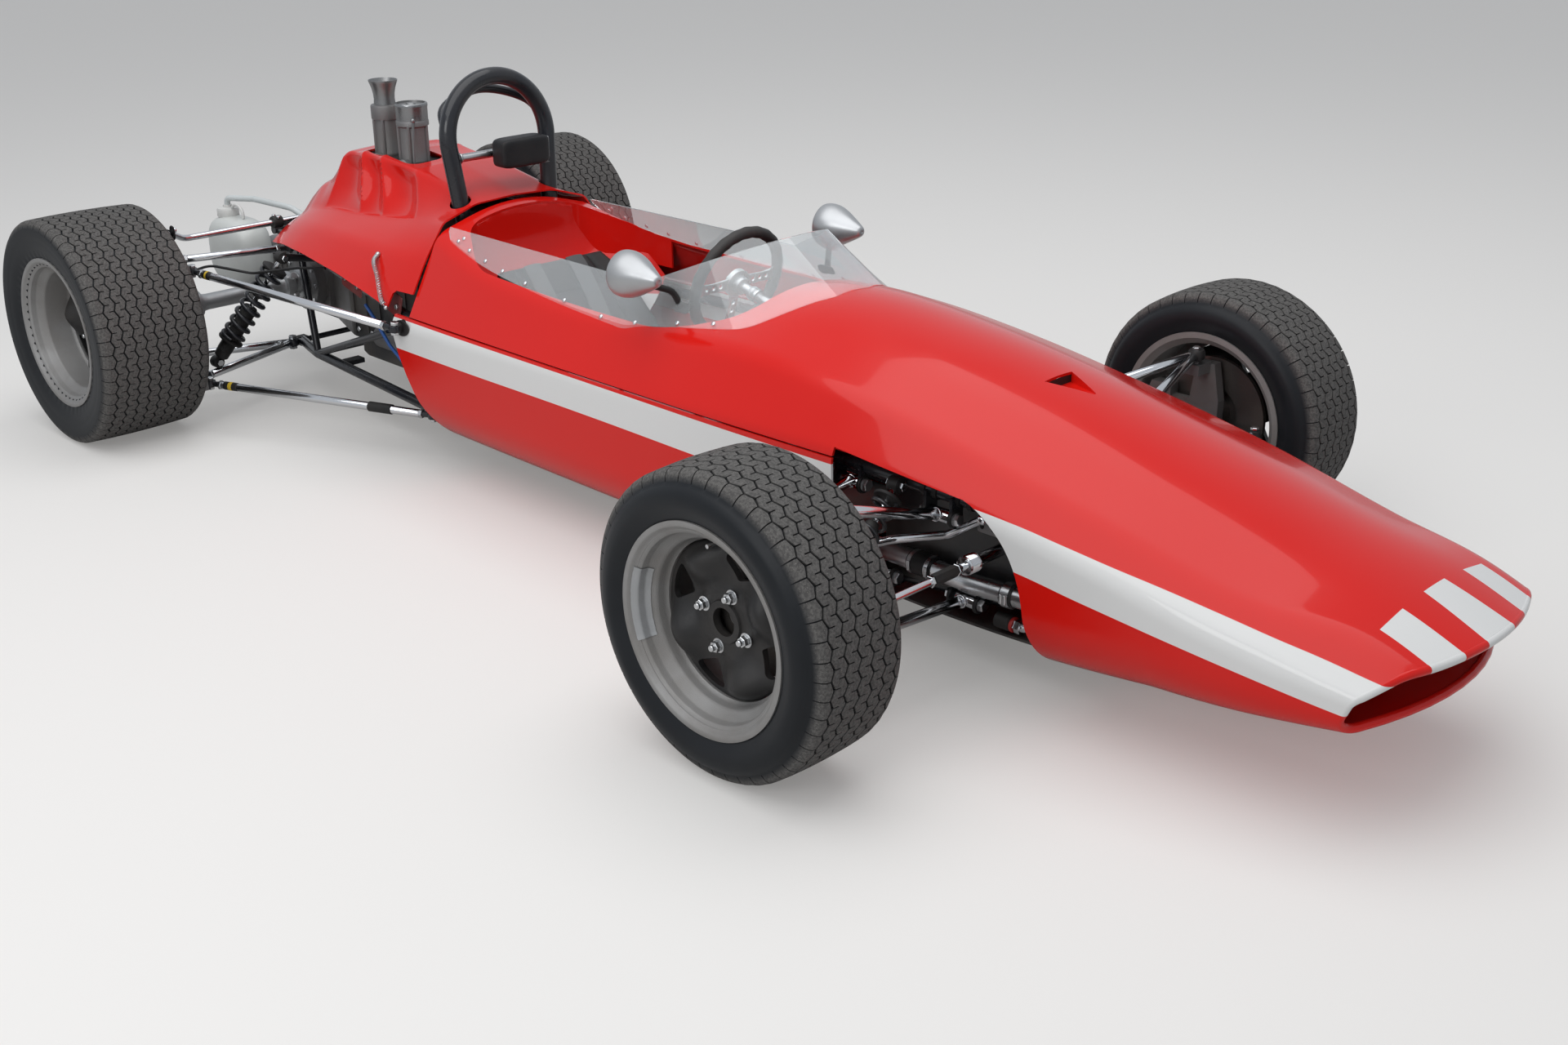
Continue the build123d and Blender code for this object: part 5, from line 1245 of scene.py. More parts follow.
def seatCushion():
    s, t = np.linspace(0, 1, 190), np.linspace(-1, 1, 61)
    wave = np.abs(np.sin(math.pi * seatSizes["channels"] * s)) ** 0.45
    seam = np.clip(np.abs(np.abs(t) - 0.7) / 0.05, 0, 1) ** 0.5
    inner = np.abs(t) < 0.7
    puff = seatSizes["puff"] * np.where(inner[None, :], wave[:, None], 0.9) * seam[None, :]
    edge = np.clip((1 - np.abs(t)) / 0.06, 0, 1)[None, :] * np.clip(np.minimum(s, 1 - s) / 0.012, 0, 1)[:, None]
    return sheetForm(seatGrid(s, t, puff * edge ** 0.5), seatSizes["thick"])


cushion = piece("seatCushion", seatCushion(), "padCover", replaces=["seat"], angle=60)

# Shoulder belts, each a strap laid down the back and over the squab, and the lap buckle
beltSizes = {"width": 0.046, "thick": 0.0022}
for side, name in ((-1, "beltRight"), (1, "beltLeft")):
    s = np.linspace(0.004, 0.66, 110)
    middle = side * (0.4 - 0.3 * np.clip(s / 0.6, 0, 1) ** 1.5)
    across = np.linspace(-1, 1, 9) * beltSizes["width"] / 2
    path = arr([seatGrid(s, arr([m]), seatSizes["puff"] + 0.0045)[k, 0] for k, m in enumerate(middle)])
    path[:, 2] += 0.002 * np.sin(s * 40)
    strap = path[:, None] + across[None, :, None] * arr([0, 1, 0])
    strap[..., 2] += 0.0016 * np.cos(across / beltSizes["width"] * math.pi)[None, :]
    belt = piece(name, sheetForm(strap, beltSizes["thick"]), "webbing", angle=60)
    length = float(np.linalg.norm(np.diff(path, axis=0), axis=1).sum())
    print(name, "cut", beltSizes["width"], round(length, 3))
buckleAt = seatGrid(np.linspace(0, 1, 190), arr([0.0]), seatSizes["puff"] + 0.012)[126, 0]
buckle = [plateForm(0.056, 0.07, 0.012, buckleAt, (0.93, 0, 0.1), leftward, 0.014, 0.003),
          plateForm(0.026, 0.03, 0.005, buckleAt + [-0.002, 0, 0.009], (0.93, 0, 0.1), leftward, 0.006)]
piece("beltBuckle", buckle, "brushed")

# Steering wheel: leather ring, three drilled spokes, bolted boss; it all turns with its body
hub, wheelAxis = arr([0.118, 0.0, 0.532]), unit([1, 0, -262 / 894])
wheelUp = np.cross(wheelAxis, leftward)
a = angles(96)
piece("wheelGrip", tubeForm(hub + 0.115 * circle(a, leftward, wheelUp), 0.012 + 0.0006 * np.cos(a * 24), 20,
                            closed=True), "leather", "steering_wheel", replaces=["steering_wheel"], angle=60)


def spokeMesh(turn):
    # tapered flat spoke with three round holes
    along = circle(turn, leftward, wheelUp)
    across = np.cross(wheelAxis, along)
    outline = [(0.02, -0.015), (0.034, -0.0125), (0.07, -0.0105), (0.098, -0.0125), (0.107, -0.019),
               (0.107, 0.019), (0.098, 0.0125), (0.07, 0.0105), (0.034, 0.0125), (0.02, 0.015)]
    blade = meshData("spoke", slabForm(outline, hub, along, across, 0.0036, 0.0006))
    cuts = []
    for r, size in ((0.046, 0.0058), (0.066, 0.005), (0.085, 0.0045)):
        at = hub + along * r
        cuts.append(cylinderMesh(at - wheelAxis * 0.02, at + wheelAxis * 0.02, size))
    return carve(blade, *cuts)


def joinMeshes(meshes):
    work = bmesh.new()
    for mesh in meshes:
        work.from_mesh(mesh)
    made = bpy.data.meshes.new("joined")
    work.to_mesh(made)
    work.free()
    return made


bossForms = [turnedForm([(0, -12), (14, -12), (16.5, -10.5), (16.5, -6), (29, -6), (30, -5), (30, 5), (29, 6),
                         (19, 6.5), (19, 20), (17.5, 21.5), (11.2, 21.5)], hub, wheelAxis, 48)]
for k in range(6):
    at = math.pi / 6 + k * math.pi / 3
    spot = hub + 0.0232 * circle(at, leftward, wheelUp) - wheelAxis * 0.0062
    bossForms.append(hexForm(spot, -wheelAxis, 0.0062, 0.0036, at))
boss = [meshData("boss", merge(bossForms))] + [spokeMesh(t) for t in (0.0, math.pi, -math.pi / 2)]
piece("wheelSpokes", joinMeshes(boss), "brushed", "steering_wheel")
shaftStart = hub + wheelAxis * 0.012
steps = [(10.8, 0), (10.8, 16), (10.8, 30), (10.8, 872), (9, 876), (0, 876)]
collar = [latheForm([(0.0106, d), (0.015, d + 0.001), (0.0155, d + 0.003), (0.0155, d + 0.02),
                     (0.015, d + 0.022), (0.0106, d + 0.023)], shaftStart, wheelAxis, 28)
          for d in (0.034, 0.3, 0.64)]
piece("steeringShaft", [turnedForm([(0, 0), *steps], shaftStart, wheelAxis, 28), *collar], "brushed",
      "steering_wheel", replaces=["steering_column"])

# Dash: a black panel under the scuttle's rear edge, with four dials and a row of switches
dashX = 0.338


def dashMesh():
    half = bodySections(np.array([dashX]))[0][0]
    top = half[half[:, 1] > 0.418]
    p = top[top[:, 0].argmax():]
    p[:, 0] = np.maximum(p[:, 0] - 0.01, 0)
    p[:, 1] -= 0.0065
    arch = np.linspace(-math.pi / 2 * 0.9, math.pi / 2 * 0.9, 20)
    notch = np.stack([0.04 * np.sin(arch), 0.452 + 0.04 * np.cos(arch)], 1)
    low = [(-0.24, 0.412), (-0.06, 0.412)] + notch.tolist() + [(0.06, 0.412), (0.24, 0.412)]
    return cutter(np.vstack([p, p[-2::-1] * [-1, 1], low]), dashX, dashX + 0.004, "x")


def dialMark(y, z, turn, out, rise, thick, outline):
    # a stroke or a needle on a dial, with its head away from the dial's middle
    c, s = math.cos(turn), math.sin(turn)
    return slabForm(outline, (dashX - rise, y + out * s, z + out * c), (0, c, -s), (0, s, c), thick, 0.0001)


piece("dashPanel", dashMesh(), "blackPanel", replaces=["dash_panel"], angle=30)
bezels, faces, marks = [], [], []
for y, z, r in ((-0.128, 0.474, 0.038), (0.128, 0.474, 0.038), (-0.066, 0.515, 0.024), (0.066, 0.515, 0.024)):
    bezels.append(latheForm([(r - 0.003, 0.0), (r - 0.002, 0.006), (r, 0.0075), (r + 0.002, 0.006),
                             (r + 0.0025, 0.0), (r - 0.003, 0.0)], (dashX, y, z), (-1, 0, 0), 40))
    faces.append(latheForm([(0.0, 0.0), (r - 0.0025, 0.0), (r - 0.0025, 0.003), (0.0, 0.003)], (dashX, y, z),
                           (-1, 0, 0), 40))
    for k in range(13):
        marks.append(dialMark(y, z, math.radians(-130 + k * 260 / 12), r - 0.008, 0.0034, 0.0006,
                              [(-0.0005, -0.003), (0.0005, -0.003), (0.0005, 0.003), (-0.0005, 0.003)]))
    marks.append(dialMark(y, z, math.radians(-40), 0.4 * r, 0.0042, 0.0008,
                          [(-0.0011, -0.5 * r), (0.0011, -0.5 * r), (0.0003, 0.42 * r), (-0.0003, 0.42 * r)]))
for y in (-0.03, 0.0, 0.03):
    bezels.append(turnedForm([(7, 0), (7, 2), (3.5, 3), (2.8, 14), (3.4, 18), (0, 19)], (dashX, y, 0.548),
                             (-1, 0, 0), 16))
piece("dashBezels", bezels, "chrome")
piece("dashFaces", faces, "blackPanel")
piece("dashMarks", marks, "whiteMark", angle=30)

# Gear lever on the right, in its gaiter
leverFoot = arr([-0.005, -0.232, 0.3])
folds = [(30 - 2.2 * k + (3.5 if k % 2 else 0), 8 + 8 * k) for k in range(9)]
piece("leverGaiter", turnedForm([(34, 0), (36, 4), *folds, (8, 82), (0, 82)], leverFoot, (0.05, 0.03, 1), 32),
      "blackTrim", angle=60)
piece("leverRod", rodForm(leverFoot + [0, 0, 0.07], leverFoot + [0.012, 0.006, 0.15], 0.005, 14), "brushed")
piece("leverKnob", turnedForm([(0, -20), (10, -18), (16.5, -8), (17.5, 2), (14, 12), (6, 17.5), (0, 18)],
                              leverFoot + [0.013, 0.007, 0.158], (0.08, 0.04, 1), 28), "blackTrim", angle=60)

# Nose vent: a sunk triangle whose floor falls towards its rear, where a black sheet is painted shade standing in
# for the slot's dark opening
def ventGrid():
    x = np.linspace(ventSizes["slot"], ventSizes["tip"], 30)
    q = (x - x[0]) / (x[-1] - x[0])
    half = ventSizes["half"] * (1 - q) + ventSizes["point"] * q + 0.0012
    top = bodyTopZ(x, half) - 0.0022
    low = bodyTopZ(x, 0 * x) - 0.003 - ventSizes["depth"] * (1 - q)
    floor = np.stack([np.stack([x, k * half, low], 1) for k in np.linspace(-1, 1, 9)])
    walls = [np.stack([np.stack([x, s * half, low + (top - low) * k], 1) for k in np.linspace(0, 1, 5)])
             for s in (-1, 1)]
    return merge([sheetForm(g, 0.0012) for g in (floor, *walls)])


piece("noseVent", ventGrid(), "redPaint", angle=40)
# black sheet across the vent's rear: painted shade for the slot's dark opening
ventX, ventHalf = ventSizes["slot"] - 0.0015, ventSizes["half"] + 0.012
ventTop = float(bodyTopZ(arr([ventX]), arr([ventHalf]))[0]) - 0.003
ventShadeSheet = np.stack([np.stack([0 * k + ventX, k, 0 * k + z], 1) for k in [np.linspace(-ventHalf, ventHalf, 9)]
                     for z in np.linspace(ventTop - ventSizes["depth"] - 0.012, ventTop, 5)])
piece("noseVentSlotShade", sheetForm(ventShadeSheet, 0.001), "blackTrim", angle=60)
print("cockpit")


# Suspension and running gear, built for the left side and mirrored
def pointOn(a, b, share):
    return a + (b - a) * share


def rodEnd(at, away, size=0.013):
    # spherical rod end at a pivot with its shank, lock nut and bolt; away points along the rod
    u, v, d = axisFrame(away)
    eye = latheForm([(size * 0.55, -size * 0.62), (size, -size * 0.55), (size * 1.12, 0), (size, size * 0.55),
                     (size * 0.55, size * 0.62)], at, v, 28)
    shank = rodForm(arr(at) + d * size * 0.8, arr(at) + d * size * 2.5, size * 0.55, 14)
    nut = hexForm(arr(at) + d * size * 2.2, d, size * 1.5, size * 0.7)
    bolt = [hexForm(arr(at) + v * size * 0.62, v, size * 1.3, size * 0.6),
            hexForm(arr(at) - v * size * 0.62, -v, size * 1.3, size * 0.5)]
    return merge([eye, shank]), merge([nut, *bolt])


def dampers(end, low, high, coilR, wire, turns, bodyR):
    # at both sides: body, bright rod, spring seats, bump rubber, eyes and a real helical spring
    low, high = arr(low), arr(high)
    run = high - low
    length = np.linalg.norm(run)
    u, v, w = axisFrame(run)
    bodyProfile = [(0.0, 0.016), (bodyR * 0.8, 0.016), (bodyR, 0.02), (bodyR, 0.52 * length),
                   (bodyR * 0.9, 0.53 * length), (bodyR * 0.5, 0.535 * length), (0.0, 0.535 * length)]
    seat = lambda d: [(bodyR * 0.6, d), (coilR + 0.005, d + 0.001), (coilR + 0.006, d + 0.003),
                      (coilR + 0.006, d + 0.006), (coilR + 0.002, d + 0.008), (bodyR * 0.6, d + 0.01)]
    threads = [(bodyR + (0.0008 if k % 2 else 0), 0.11 * length + 0.0016 * k)
               for k in range(int(0.4 * length / 0.0016))]
    dark = [latheForm(bodyProfile, low, run, 32), latheForm(seat(0.2 * length), low, run, 36),
            latheForm(seat(0.88 * length), low, run, 36),
            latheForm([(bodyR, 0.11 * length), *threads, (bodyR, 0.51 * length)], low, run, 24),
            latheForm([(0.007, 0.62 * length), (0.014, 0.63 * length), (0.016, 0.66 * length),
                       (0.012, 0.72 * length), (0.007, 0.73 * length)], low, run, 24)]
    t = np.linspace(0, 1, int(turns * 22))
    ends = 0.5 * (t + np.clip((t - 0.08) / 0.84, 0, 1))
    h = (0.235 + 0.64 * ends) * length
    spring = tubeForm(low + circle(2 * math.pi * turns * t, u, v) * coilR + h[:, None] * w, wire, 10)
    bright = [rodForm(low + w * 0.5 * length, low + w * (length - 0.012), 0.0062, 16)]
    for at in (low, high):
        dark.append(turnedForm([(7, -12), (14.5, -11.5), (15, -9), (15, 9), (14.5, 11.5), (7, 12)], at, ahead, 28))
        bright += [hexForm(at + [0.0125, 0, 0], ahead, 0.015, 0.007),
                   hexForm(at - [0.0125, 0, 0], (-1, 0, 0), 0.015, 0.006)]
    piece(end + "DamperBodies", both(dark), "blackTrim", replaces=[end + "_dampers"])
    piece(end + "Springs", both(spring), "framePaint", angle=60)
    piece(end + "DamperRods", both(bright), "chrome")


highBall, lowBall = arr([0.8634, 0.5872, 0.4062]), arr([0.8709, 0.6098, 0.1388])
highPivots = arr([(0.894, 0.252, 0.308), (0.686, 0.258, 0.318)])
lowPivots = arr([(0.916, 0.2, 0.134), (0.72, 0.206, 0.128)])
chromeForms, blackForms, boltForms = [], [], []
for ball, pivots in ((highBall, highPivots), (lowBall, lowPivots)):
    for pivot in pivots:
        u, v, d = axisFrame(pivot - ball)
        chromeForms.append(rodForm(ball + d * 0.012, pivot - d * 0.01, 0.0105, 24, 0.05))
        chromeForms.append(rodForm(pivot - [0.026, 0, 0], pivot + [0.026, 0, 0], 0.0128, 26, 0.12))
        bead = pivot - d * 0.0135 + 0.0112 * circle(angles(28), u, v)
        chromeForms.append(tubeForm(bead, 0.0022, 8, closed=True))
        for e in (-1, 1):
            blackForms.append(turnedForm([(6, 0), (16.5, 0), (17.5, 1.5), (17.5, 5.5), (16.5, 7), (6, 7)],
                                         pivot + [e * 0.0265, 0, 0], (e, 0, 0), 30))
            boltForms.append(hexForm(pivot + [e * 0.0345, 0, 0], (e, 0, 0), 0.0205 if e > 0 else 0.018, 0.009, 0.3))
            boltForms.append(turnedForm([(0, 0), (12.5, 0), (12.5, 1.2), (0, 1.2)], pivot + [e * 0.0335, 0, 0],
                                        (e, 0, 0), 24))
    up = arr([-0.028, -0.084, 0.996])
    blackForms.append(turnedForm([(0, -13), (11, -12), (16.5, -9), (17.5, -4), (17.5, 6), (15, 10), (0, 11)],
                                 ball, up, 30))
    boltForms.append(hexForm(ball + up * 0.01, up, 0.014, 0.006))
piece("frontWishbones", both(chromeForms), "chrome", replaces=["front_wishbones"], angle=50)
piece("frontBushes", both(blackForms), "blackTrim")
piece("frontBolts", both(boltForms), "brushed")

dampers("front", (0.8347, 0.5129, 0.1628), (0.808, 0.2734, 0.3466), 0.0215, 0.004, 8, 0.015)

# Rack and track rods: knurled rack ends, hex sleeves, lock nuts and eyes; all slide with the rack
rackX, rackZ, eyeY = 1.012, 0.27, 0.587
rackBright, rackDark = [rodForm((rackX, -0.3, rackZ), (rackX, 0.3, rackZ), 0.0108, 24)], []
for s in (1, -1):
    out = (0, s, 0)
    on = lambda y, z=rackZ: (rackX, s * y, z)
    knurl = [(17.2 if k % 2 else 16.5, 3 + 1.3 * k) for k in range(20)]
    rackBright += [turnedForm([(11, 0), (16.5, 1.2), *knurl, (16, 31), (11, 32)], on(0.299), out, 44),
                   rodForm(on(0.328), on(eyeY - 0.012), 0.0068, 18), hexForm(on(0.345), out, 0.019, 0.006),
                   hexForm(on(0.413), out, 0.019, 0.006), hexForm(on(0.55), out, 0.017, 0.007),
                   hexForm(on(eyeY, 0.2782), upward, 0.014, 0.006)]
    sleeve = [(6.8, 0), (10.5, 1.2), (11, 4), (11, 54), (10.5, 58), (6.8, 59)]
    eye = [(5.5, -10), (12.8, -9.5), (13.8, -6), (13.8, 6), (12.8, 9.5), (5.5, 10)]
    rackDark += [turnedForm(sleeve, on(0.352), out, 6), turnedForm(eye, on(eyeY, 0.268), upward, 32)]
piece("rackBar", rackBright, "chrome", "steering_rack", replaces=["steering_rack"])
piece("rackSleeves", rackDark, "blackTrim", "steering_rack")

# Front anti-roll link into its drilled block, water pipes with their hoses, the dark inner panel
link = rounded([(0.734, 0.3, 0.212), (0.8, 0.262, 0.236), (0.911, 0.25, 0.274), (0.985, 0.25, 0.324)], 0.05, 8)
block = meshData("block", plateForm(0.046, 0.052, 0.004, (0.992, 0.238, 0.322), ahead, upward, 0.014))
holes = [cylinderMesh((x, 0.2, z), (x, 0.3, z), 0.0048) for x, z in ((0.98, 0.308), (1.004, 0.308), (0.992, 0.334))]
blockMesh = carve(block, *holes)
piece("rollBlocks", joinMeshes([blockMesh, mirrorMesh(blockMesh)]), "castAlloy")
piece("frontRollLinks", both([tubeForm(link, 0.0078, 18), *[ballForm(p, 0.0105) for p in (link[0], link[-1])]]),
      "chrome", angle=50)
pipe = rounded([(1.4297, 0.184, 0.202), (1.34, 0.184, 0.202), (1.2, 0.204, 0.188), (0.93, 0.211, 0.174),
                (0.75, 0.199, 0.172), (0.5798, 0.199, 0.172)], 0.09, 10)
pipe = evenly(pipe, 200)
piece("waterPipes", both(tubeForm(pipe, 0.0188, 30)), "brushed", replaces=["water_pipes"], angle=60)
hoses, clamps = [], []
for x0, x1 in ((0.786, 0.85), (1.006, 1.034), (1.36, 1.428)):
    run = pipe[(pipe[:, 0] > x0) & (pipe[:, 0] < x1)]
    swell = np.full(len(run), 0.0222)
    swell[[0, -1]] = 0.0205
    hoses.append(tubeForm(run, swell, 30))
    for q in (run[1:4], run[-4:-1]):
        clamps.append(tubeForm(q, 0.0234, 30))
        clamps.append(rodForm(q[1] + [0, 0.0225, -0.009], q[1] + [0, 0.0225, 0.009], 0.0036, 12))
piece("pipeHoses", both(hoses), "blackTrim")
piece("pipeClamps", both(clamps), "brushed")
inner = slabForm([(0.706, 0.12), (1.09, 0.15), (1.132, 0.215), (1.09, 0.312), (0.99, 0.352), (0.706, 0.368)],
                 (0, 0.182, 0), ahead, upward, 0.002)
piece("innerPanels", both(inner), "blackPanel")
# clamps round the upper tube, fitting with a red seal and bright elbow low at the nose's edge
rings, seals, elbows = [], [], []
tubeRear, tubeFront = arr([0.57, 0.258, 0.354]), arr([0.99, 0.236, 0.341])
for s in (0.66, 0.72, 0.84, 0.9):
    rings.append(turnedForm([(12.2, 0), (15, 0.8), (15, 10), (12.2, 10.8)], pointOn(tubeRear, tubeFront, s),
                            tubeFront - tubeRear, 28))
at = arr([0.985, 0.196, 0.118])
rings.append(turnedForm([(0, 0), (14.5, 1), (14.5, 30), (11, 34), (0, 34)], at, ahead, 26))
seals.append(turnedForm([(0, 34), (13.5, 34), (14.5, 37), (13.5, 40), (0, 40)], at, ahead, 26))
elbow = rounded([at + [0.04, 0, 0], at + [0.068, 0, 0], at + [0.076, 0, 0.04]], 0.02, 8)
elbows += [tubeForm(elbow, 0.0088, 18), turnedForm([(0, 41), (12.5, 41), (13, 43), (13, 52), (12.5, 54),
                                                    (0, 54)], at, ahead, 6)]
piece("tubeClamps", both(rings), "blackTrim")
piece("fittingSeals", both(seals), "sealRed")
piece("fittingElbows", both(elbows), "chrome")

# Rear: radius rods, reversed wishbone, upper link, coil-overs, roll bar with its drop links
linkEye, upperEnd = arr([-0.646, 0.35, 0.352]), arr([-1.286, 0.504, 0.4])
lowEye, lowerEnd = arr([-0.646, 0.2668, 0.1226]), arr([-1.27, 0.504, 0.116])
innerLow, outFront, outBack = arr([-1.426, 0.179, 0.12]), arr([-1.318, 0.503, 0.118]), arr([-1.558, 0.503, 0.118])
topIn, topOut = arr([-1.36, 0.1942, 0.392]), arr([-1.39, 0.503, 0.408])
rods, ends, nuts, bands, yellow, eyesAt = [], [], [], [], [], []
for inner, outer, r in ((linkEye, upperEnd, 0.0098), (lowEye, lowerEnd, 0.0098), (topIn, topOut, 0.0094)):
    d = unit(outer - inner)
    rods.append(rodForm(inner + d * 0.036, outer - d * 0.036, r, 26, 0.35))
    eyesAt += [(inner, d), (outer, -d)]
for outer in (outFront, outBack):
    d = unit(outer - innerLow)
    rods.append(rodForm(innerLow + d * 0.01, outer - d * 0.034, 0.0104, 26, 0.3))
    eyesAt.append((outer, -d))
for eye, fix in [rodEnd(*way) for way in eyesAt] + [rodEnd(innerLow, (0.1, 1, 0), 0.015)]:
    ends.append(eye)
    nuts.append(fix)
places = [(linkEye, upperEnd, 0.9, 0.935, 0.0104, True), (lowEye, lowerEnd, 0.87, 0.93, 0.0104, True),
          (lowEye, lowerEnd, 0.175, 0.275, 0.0122, False)]
for inner, outer, low, high, r, marked in places:
    p, q = pointOn(inner, outer, low), pointOn(inner, outer, high)
    bands.append(rodForm(p, q, r, 26, 0.1))
    if marked:
        yellow.append(rodForm(pointOn(p, q, 0.35), pointOn(p, q, 0.62), r + 0.0003, 26, 0.02))
piece("rearLinks", both(rods), "chrome", replaces=["radius_rods", "rear_wishbones"], angle=50)
piece("rearRodEnds", both(ends), "framePaint")
piece("rearNuts", both(nuts), "brushed")
piece("rodBands", both(bands), "blackTrim")
piece("rodMarks", both(yellow), "markYellow")
dampers("rear", (-1.3374, 0.4447, 0.145), (-1.23, 0.291, 0.405), 0.0262, 0.0056, 9, 0.0185)
barZ, rollX, barY = 0.4493, -1.418, 0.5092
bar = rounded([(rollX + 0.048, -barY, 0.4813), (rollX, -0.4492, barZ), (rollX, 0.4492, barZ),
               (rollX + 0.048, barY, 0.4813)], 0.05, 10)
bar = np.vstack([bar[:1] + [0.018, -0.02, 0.01], bar, bar[-1:] + [0.018, 0.02, 0.01]])
barForms, clevises = [tubeForm(bar, 0.008, 20)], []
for s in (1, -1):
    top, foot = arr([rollX + 0.046, s * barY, 0.478]), arr([rollX + 0.046, s * barY, 0.404])
    barForms += [rodForm(top - [0, 0, 0.012], foot + [0, 0, 0.01], 0.0052, 16),
                 hexForm(foot + [0, 0, 0.012], upward, 0.012, 0.006),
                 hexForm(top - [0, 0, 0.02], upward, 0.012, 0.006)]
    for e in (-1, 1):
        clevises.append(plateForm(0.022, 0.036, 0.009, top + [0, e * 0.0105, 0.002], ahead, upward, 0.004))
    barForms += [hexForm(top + [0, 0.013, 0.008], leftward, 0.013, 0.006),
                 hexForm(top + [0, -0.013, 0.008], (0, -1, 0), 0.013, 0.005)]
    clevises.append(turnedForm([(5, -8), (10.5, -7), (11.2, 0), (10.5, 7), (5, 8)], foot, ahead, 24))
    mount = arr([rollX, s * 0.19, barZ])
    clevises.append(turnedForm([(8, -14), (15, -13), (16, -10), (16, 10), (15, 13), (8, 14)], mount, leftward, 30))
    barForms += [hexForm(mount + [dx, 0, 0.0115], upward, 0.01, 0.006) for dx in (-0.012, 0.012)]
piece("rearRollBar", barForms, "chrome", replaces=["anti_roll_bar"], angle=50)
piece("rollBarMounts", clevises, "blackTrim")

# Drive shafts with their universal joints, turning with the wheels
for side, s in (("left", 1), ("right", -1)):
    profile = [(0, 129), (40, 129), (42, 131), (42, 144.5), (40, 146), (30, 148), (28, 160), (34, 165),
               (36, 175), (34, 186), (24, 189), (21.5, 196), (20.5, 205), (20.5, 405), (21.5, 414), (24, 424),
               (34, 428), (38.5, 440), (40, 452), (40, 476), (38, 490.5), (17, 491.5), (17, 654), (0, 654)]
    shaft = [turnedForm(profile, (rearX, 0, rearRadius), (0, s, 0), 40)]
    for y in (0.167, 0.446):
        for k in range(4):
            a = math.pi / 4 + k * math.pi / 2
            out = arr([math.cos(a), 0, math.sin(a)])
            shaft.append(turnedForm([(0, 0), (9.5, 0), (10.5, 2), (10.5, 8), (9, 10.5), (0, 10.5)],
                                    arr([rearX, s * y, rearRadius]) + out * 0.031, out, 18))
    piece(f"driveShaft{side.title()}", shaft, "satin", f"rear_wheel_{side}", replaces=[f"driveshaft_{side}"])

# Bottle beside the gearbox: milky, with a lid, a ring handle and a thick clear hose
bottleX, bottleY = -1.665, -0.171
piece("bottleBody", pillowForm((bottleX, bottleY, 0.328), (0.206, 0.118, 0.184), 0.03, 0.0, 34), "milky",
      replaces=["catch_tank"], angle=60)
loop = np.linspace(-0.25, math.pi + 0.25, 30)
handle = arr([bottleX + 0.006, bottleY, 0.428]) + np.stack([0.03 * np.cos(loop), 0 * loop, 0.026 * np.sin(loop)], 1)
lid = [turnedForm([(0, 416), (27, 416), (29, 418), (29, 436), (27, 440), (12, 442), (12, 448), (0, 449)],
                  (bottleX - 0.045, bottleY, 0), upward, 36), tubeForm(handle, 0.0042, 14)]
piece("bottleLid", lid, "whiteMark", angle=50)
hoseRun = evenly(rounded([(bottleX - 0.045, bottleY, 0.446), (bottleX - 0.04, bottleY, 0.466),
                          (bottleX + 0.05, bottleY + 0.03, 0.472), (-1.46, -0.12, 0.468), (-1.4, -0.1, 0.44)],
                         0.06, 10), 80)
piece("bottleHose", tubeForm(hoseRun, 0.008, 18), "clearHose", angle=60)
piece("bottleStrap", plateForm(0.026, 0.038, 0.003, (bottleX + 0.01, -0.093, 0.309), ahead, leftward, 0.003),
      "framePaint")

# Pieces under the cover: plates, brake hose, blue pipe, bracket bosses and a flat black oval on the stripe, painted
# shade for the slot round the rod's bracket
plates, plateBolts = [], []
for x, z, w, h, tilt in ((-0.905, 0.402, 0.085, 0.05, 0.25), (-0.735, 0.386, 0.07, 0.06, 0.35)):
    u, v = arr([math.cos(tilt), 0, -math.sin(tilt)]), arr([math.sin(tilt), 0, math.cos(tilt)])
    plates.append(plateForm(w, h, 0.006, (x, 0.292, z), u, v, 0.003))
    plateBolts += [hexForm(arr([x, 0.2935, z]) + u * k * w * 0.3, leftward, 0.011, 0.006) for k in (-1, 1)]
piece("redPlates", both(plates), "darkRed")
piece("plateBolts", both(plateBolts), "brushed")
hose = evenly(rounded([(-1.356, 0.47, 0.38), (-1.34, 0.43, 0.392), (-1.26, 0.36, 0.372), (-1.14, 0.3, 0.396),
                       (-1.06, 0.27, 0.404)], 0.06, 8), 70)
piece("brakeHoses", both(tubeForm(hose, 0.0034, 12)), "blackTrim", angle=60)
blue = evenly(rounded([(-0.905, 0.262, 0.34), (-0.86, 0.27, 0.318), (-0.78, 0.284, 0.27), (-0.7, 0.292, 0.236),
                       (-0.61, 0.292, 0.22)], 0.08, 8), 60)
piece("bluePipe", mirrorY(tubeForm(blue, 0.0042, 12)), "bluePlastic", angle=60)
# flat black oval lying on the stripe: painted shade standing in for the dark slot
slot = slabForm(circle(angles(36), arr([0.03, 0]), arr([0, 0.019])), (-0.643, 0.3335, 0.35), (1, 0, 0.15),
                (-0.1, 0, 1), 0.003)
boss = turnedForm([(0, 0), (12.5, 1), (13.5, 4), (13.5, 24), (10, 27), (0, 27)], (-0.646, 0.322, 0.352),
                  leftward, 28)
piece("linkBossesAndSlotShade", both([slot, boss]), "blackTrim")
print("running gear")


# Engine and gearbox dressing: ribs, covers, bolts, filter, plugs and leads
def boxForm(centre, size, bevel=0.003):
    # bevelled block with round upright edges
    w, d, h = size
    return plateForm(w, d, min(w, d) * 0.12, centre, ahead, leftward, h, bevel)


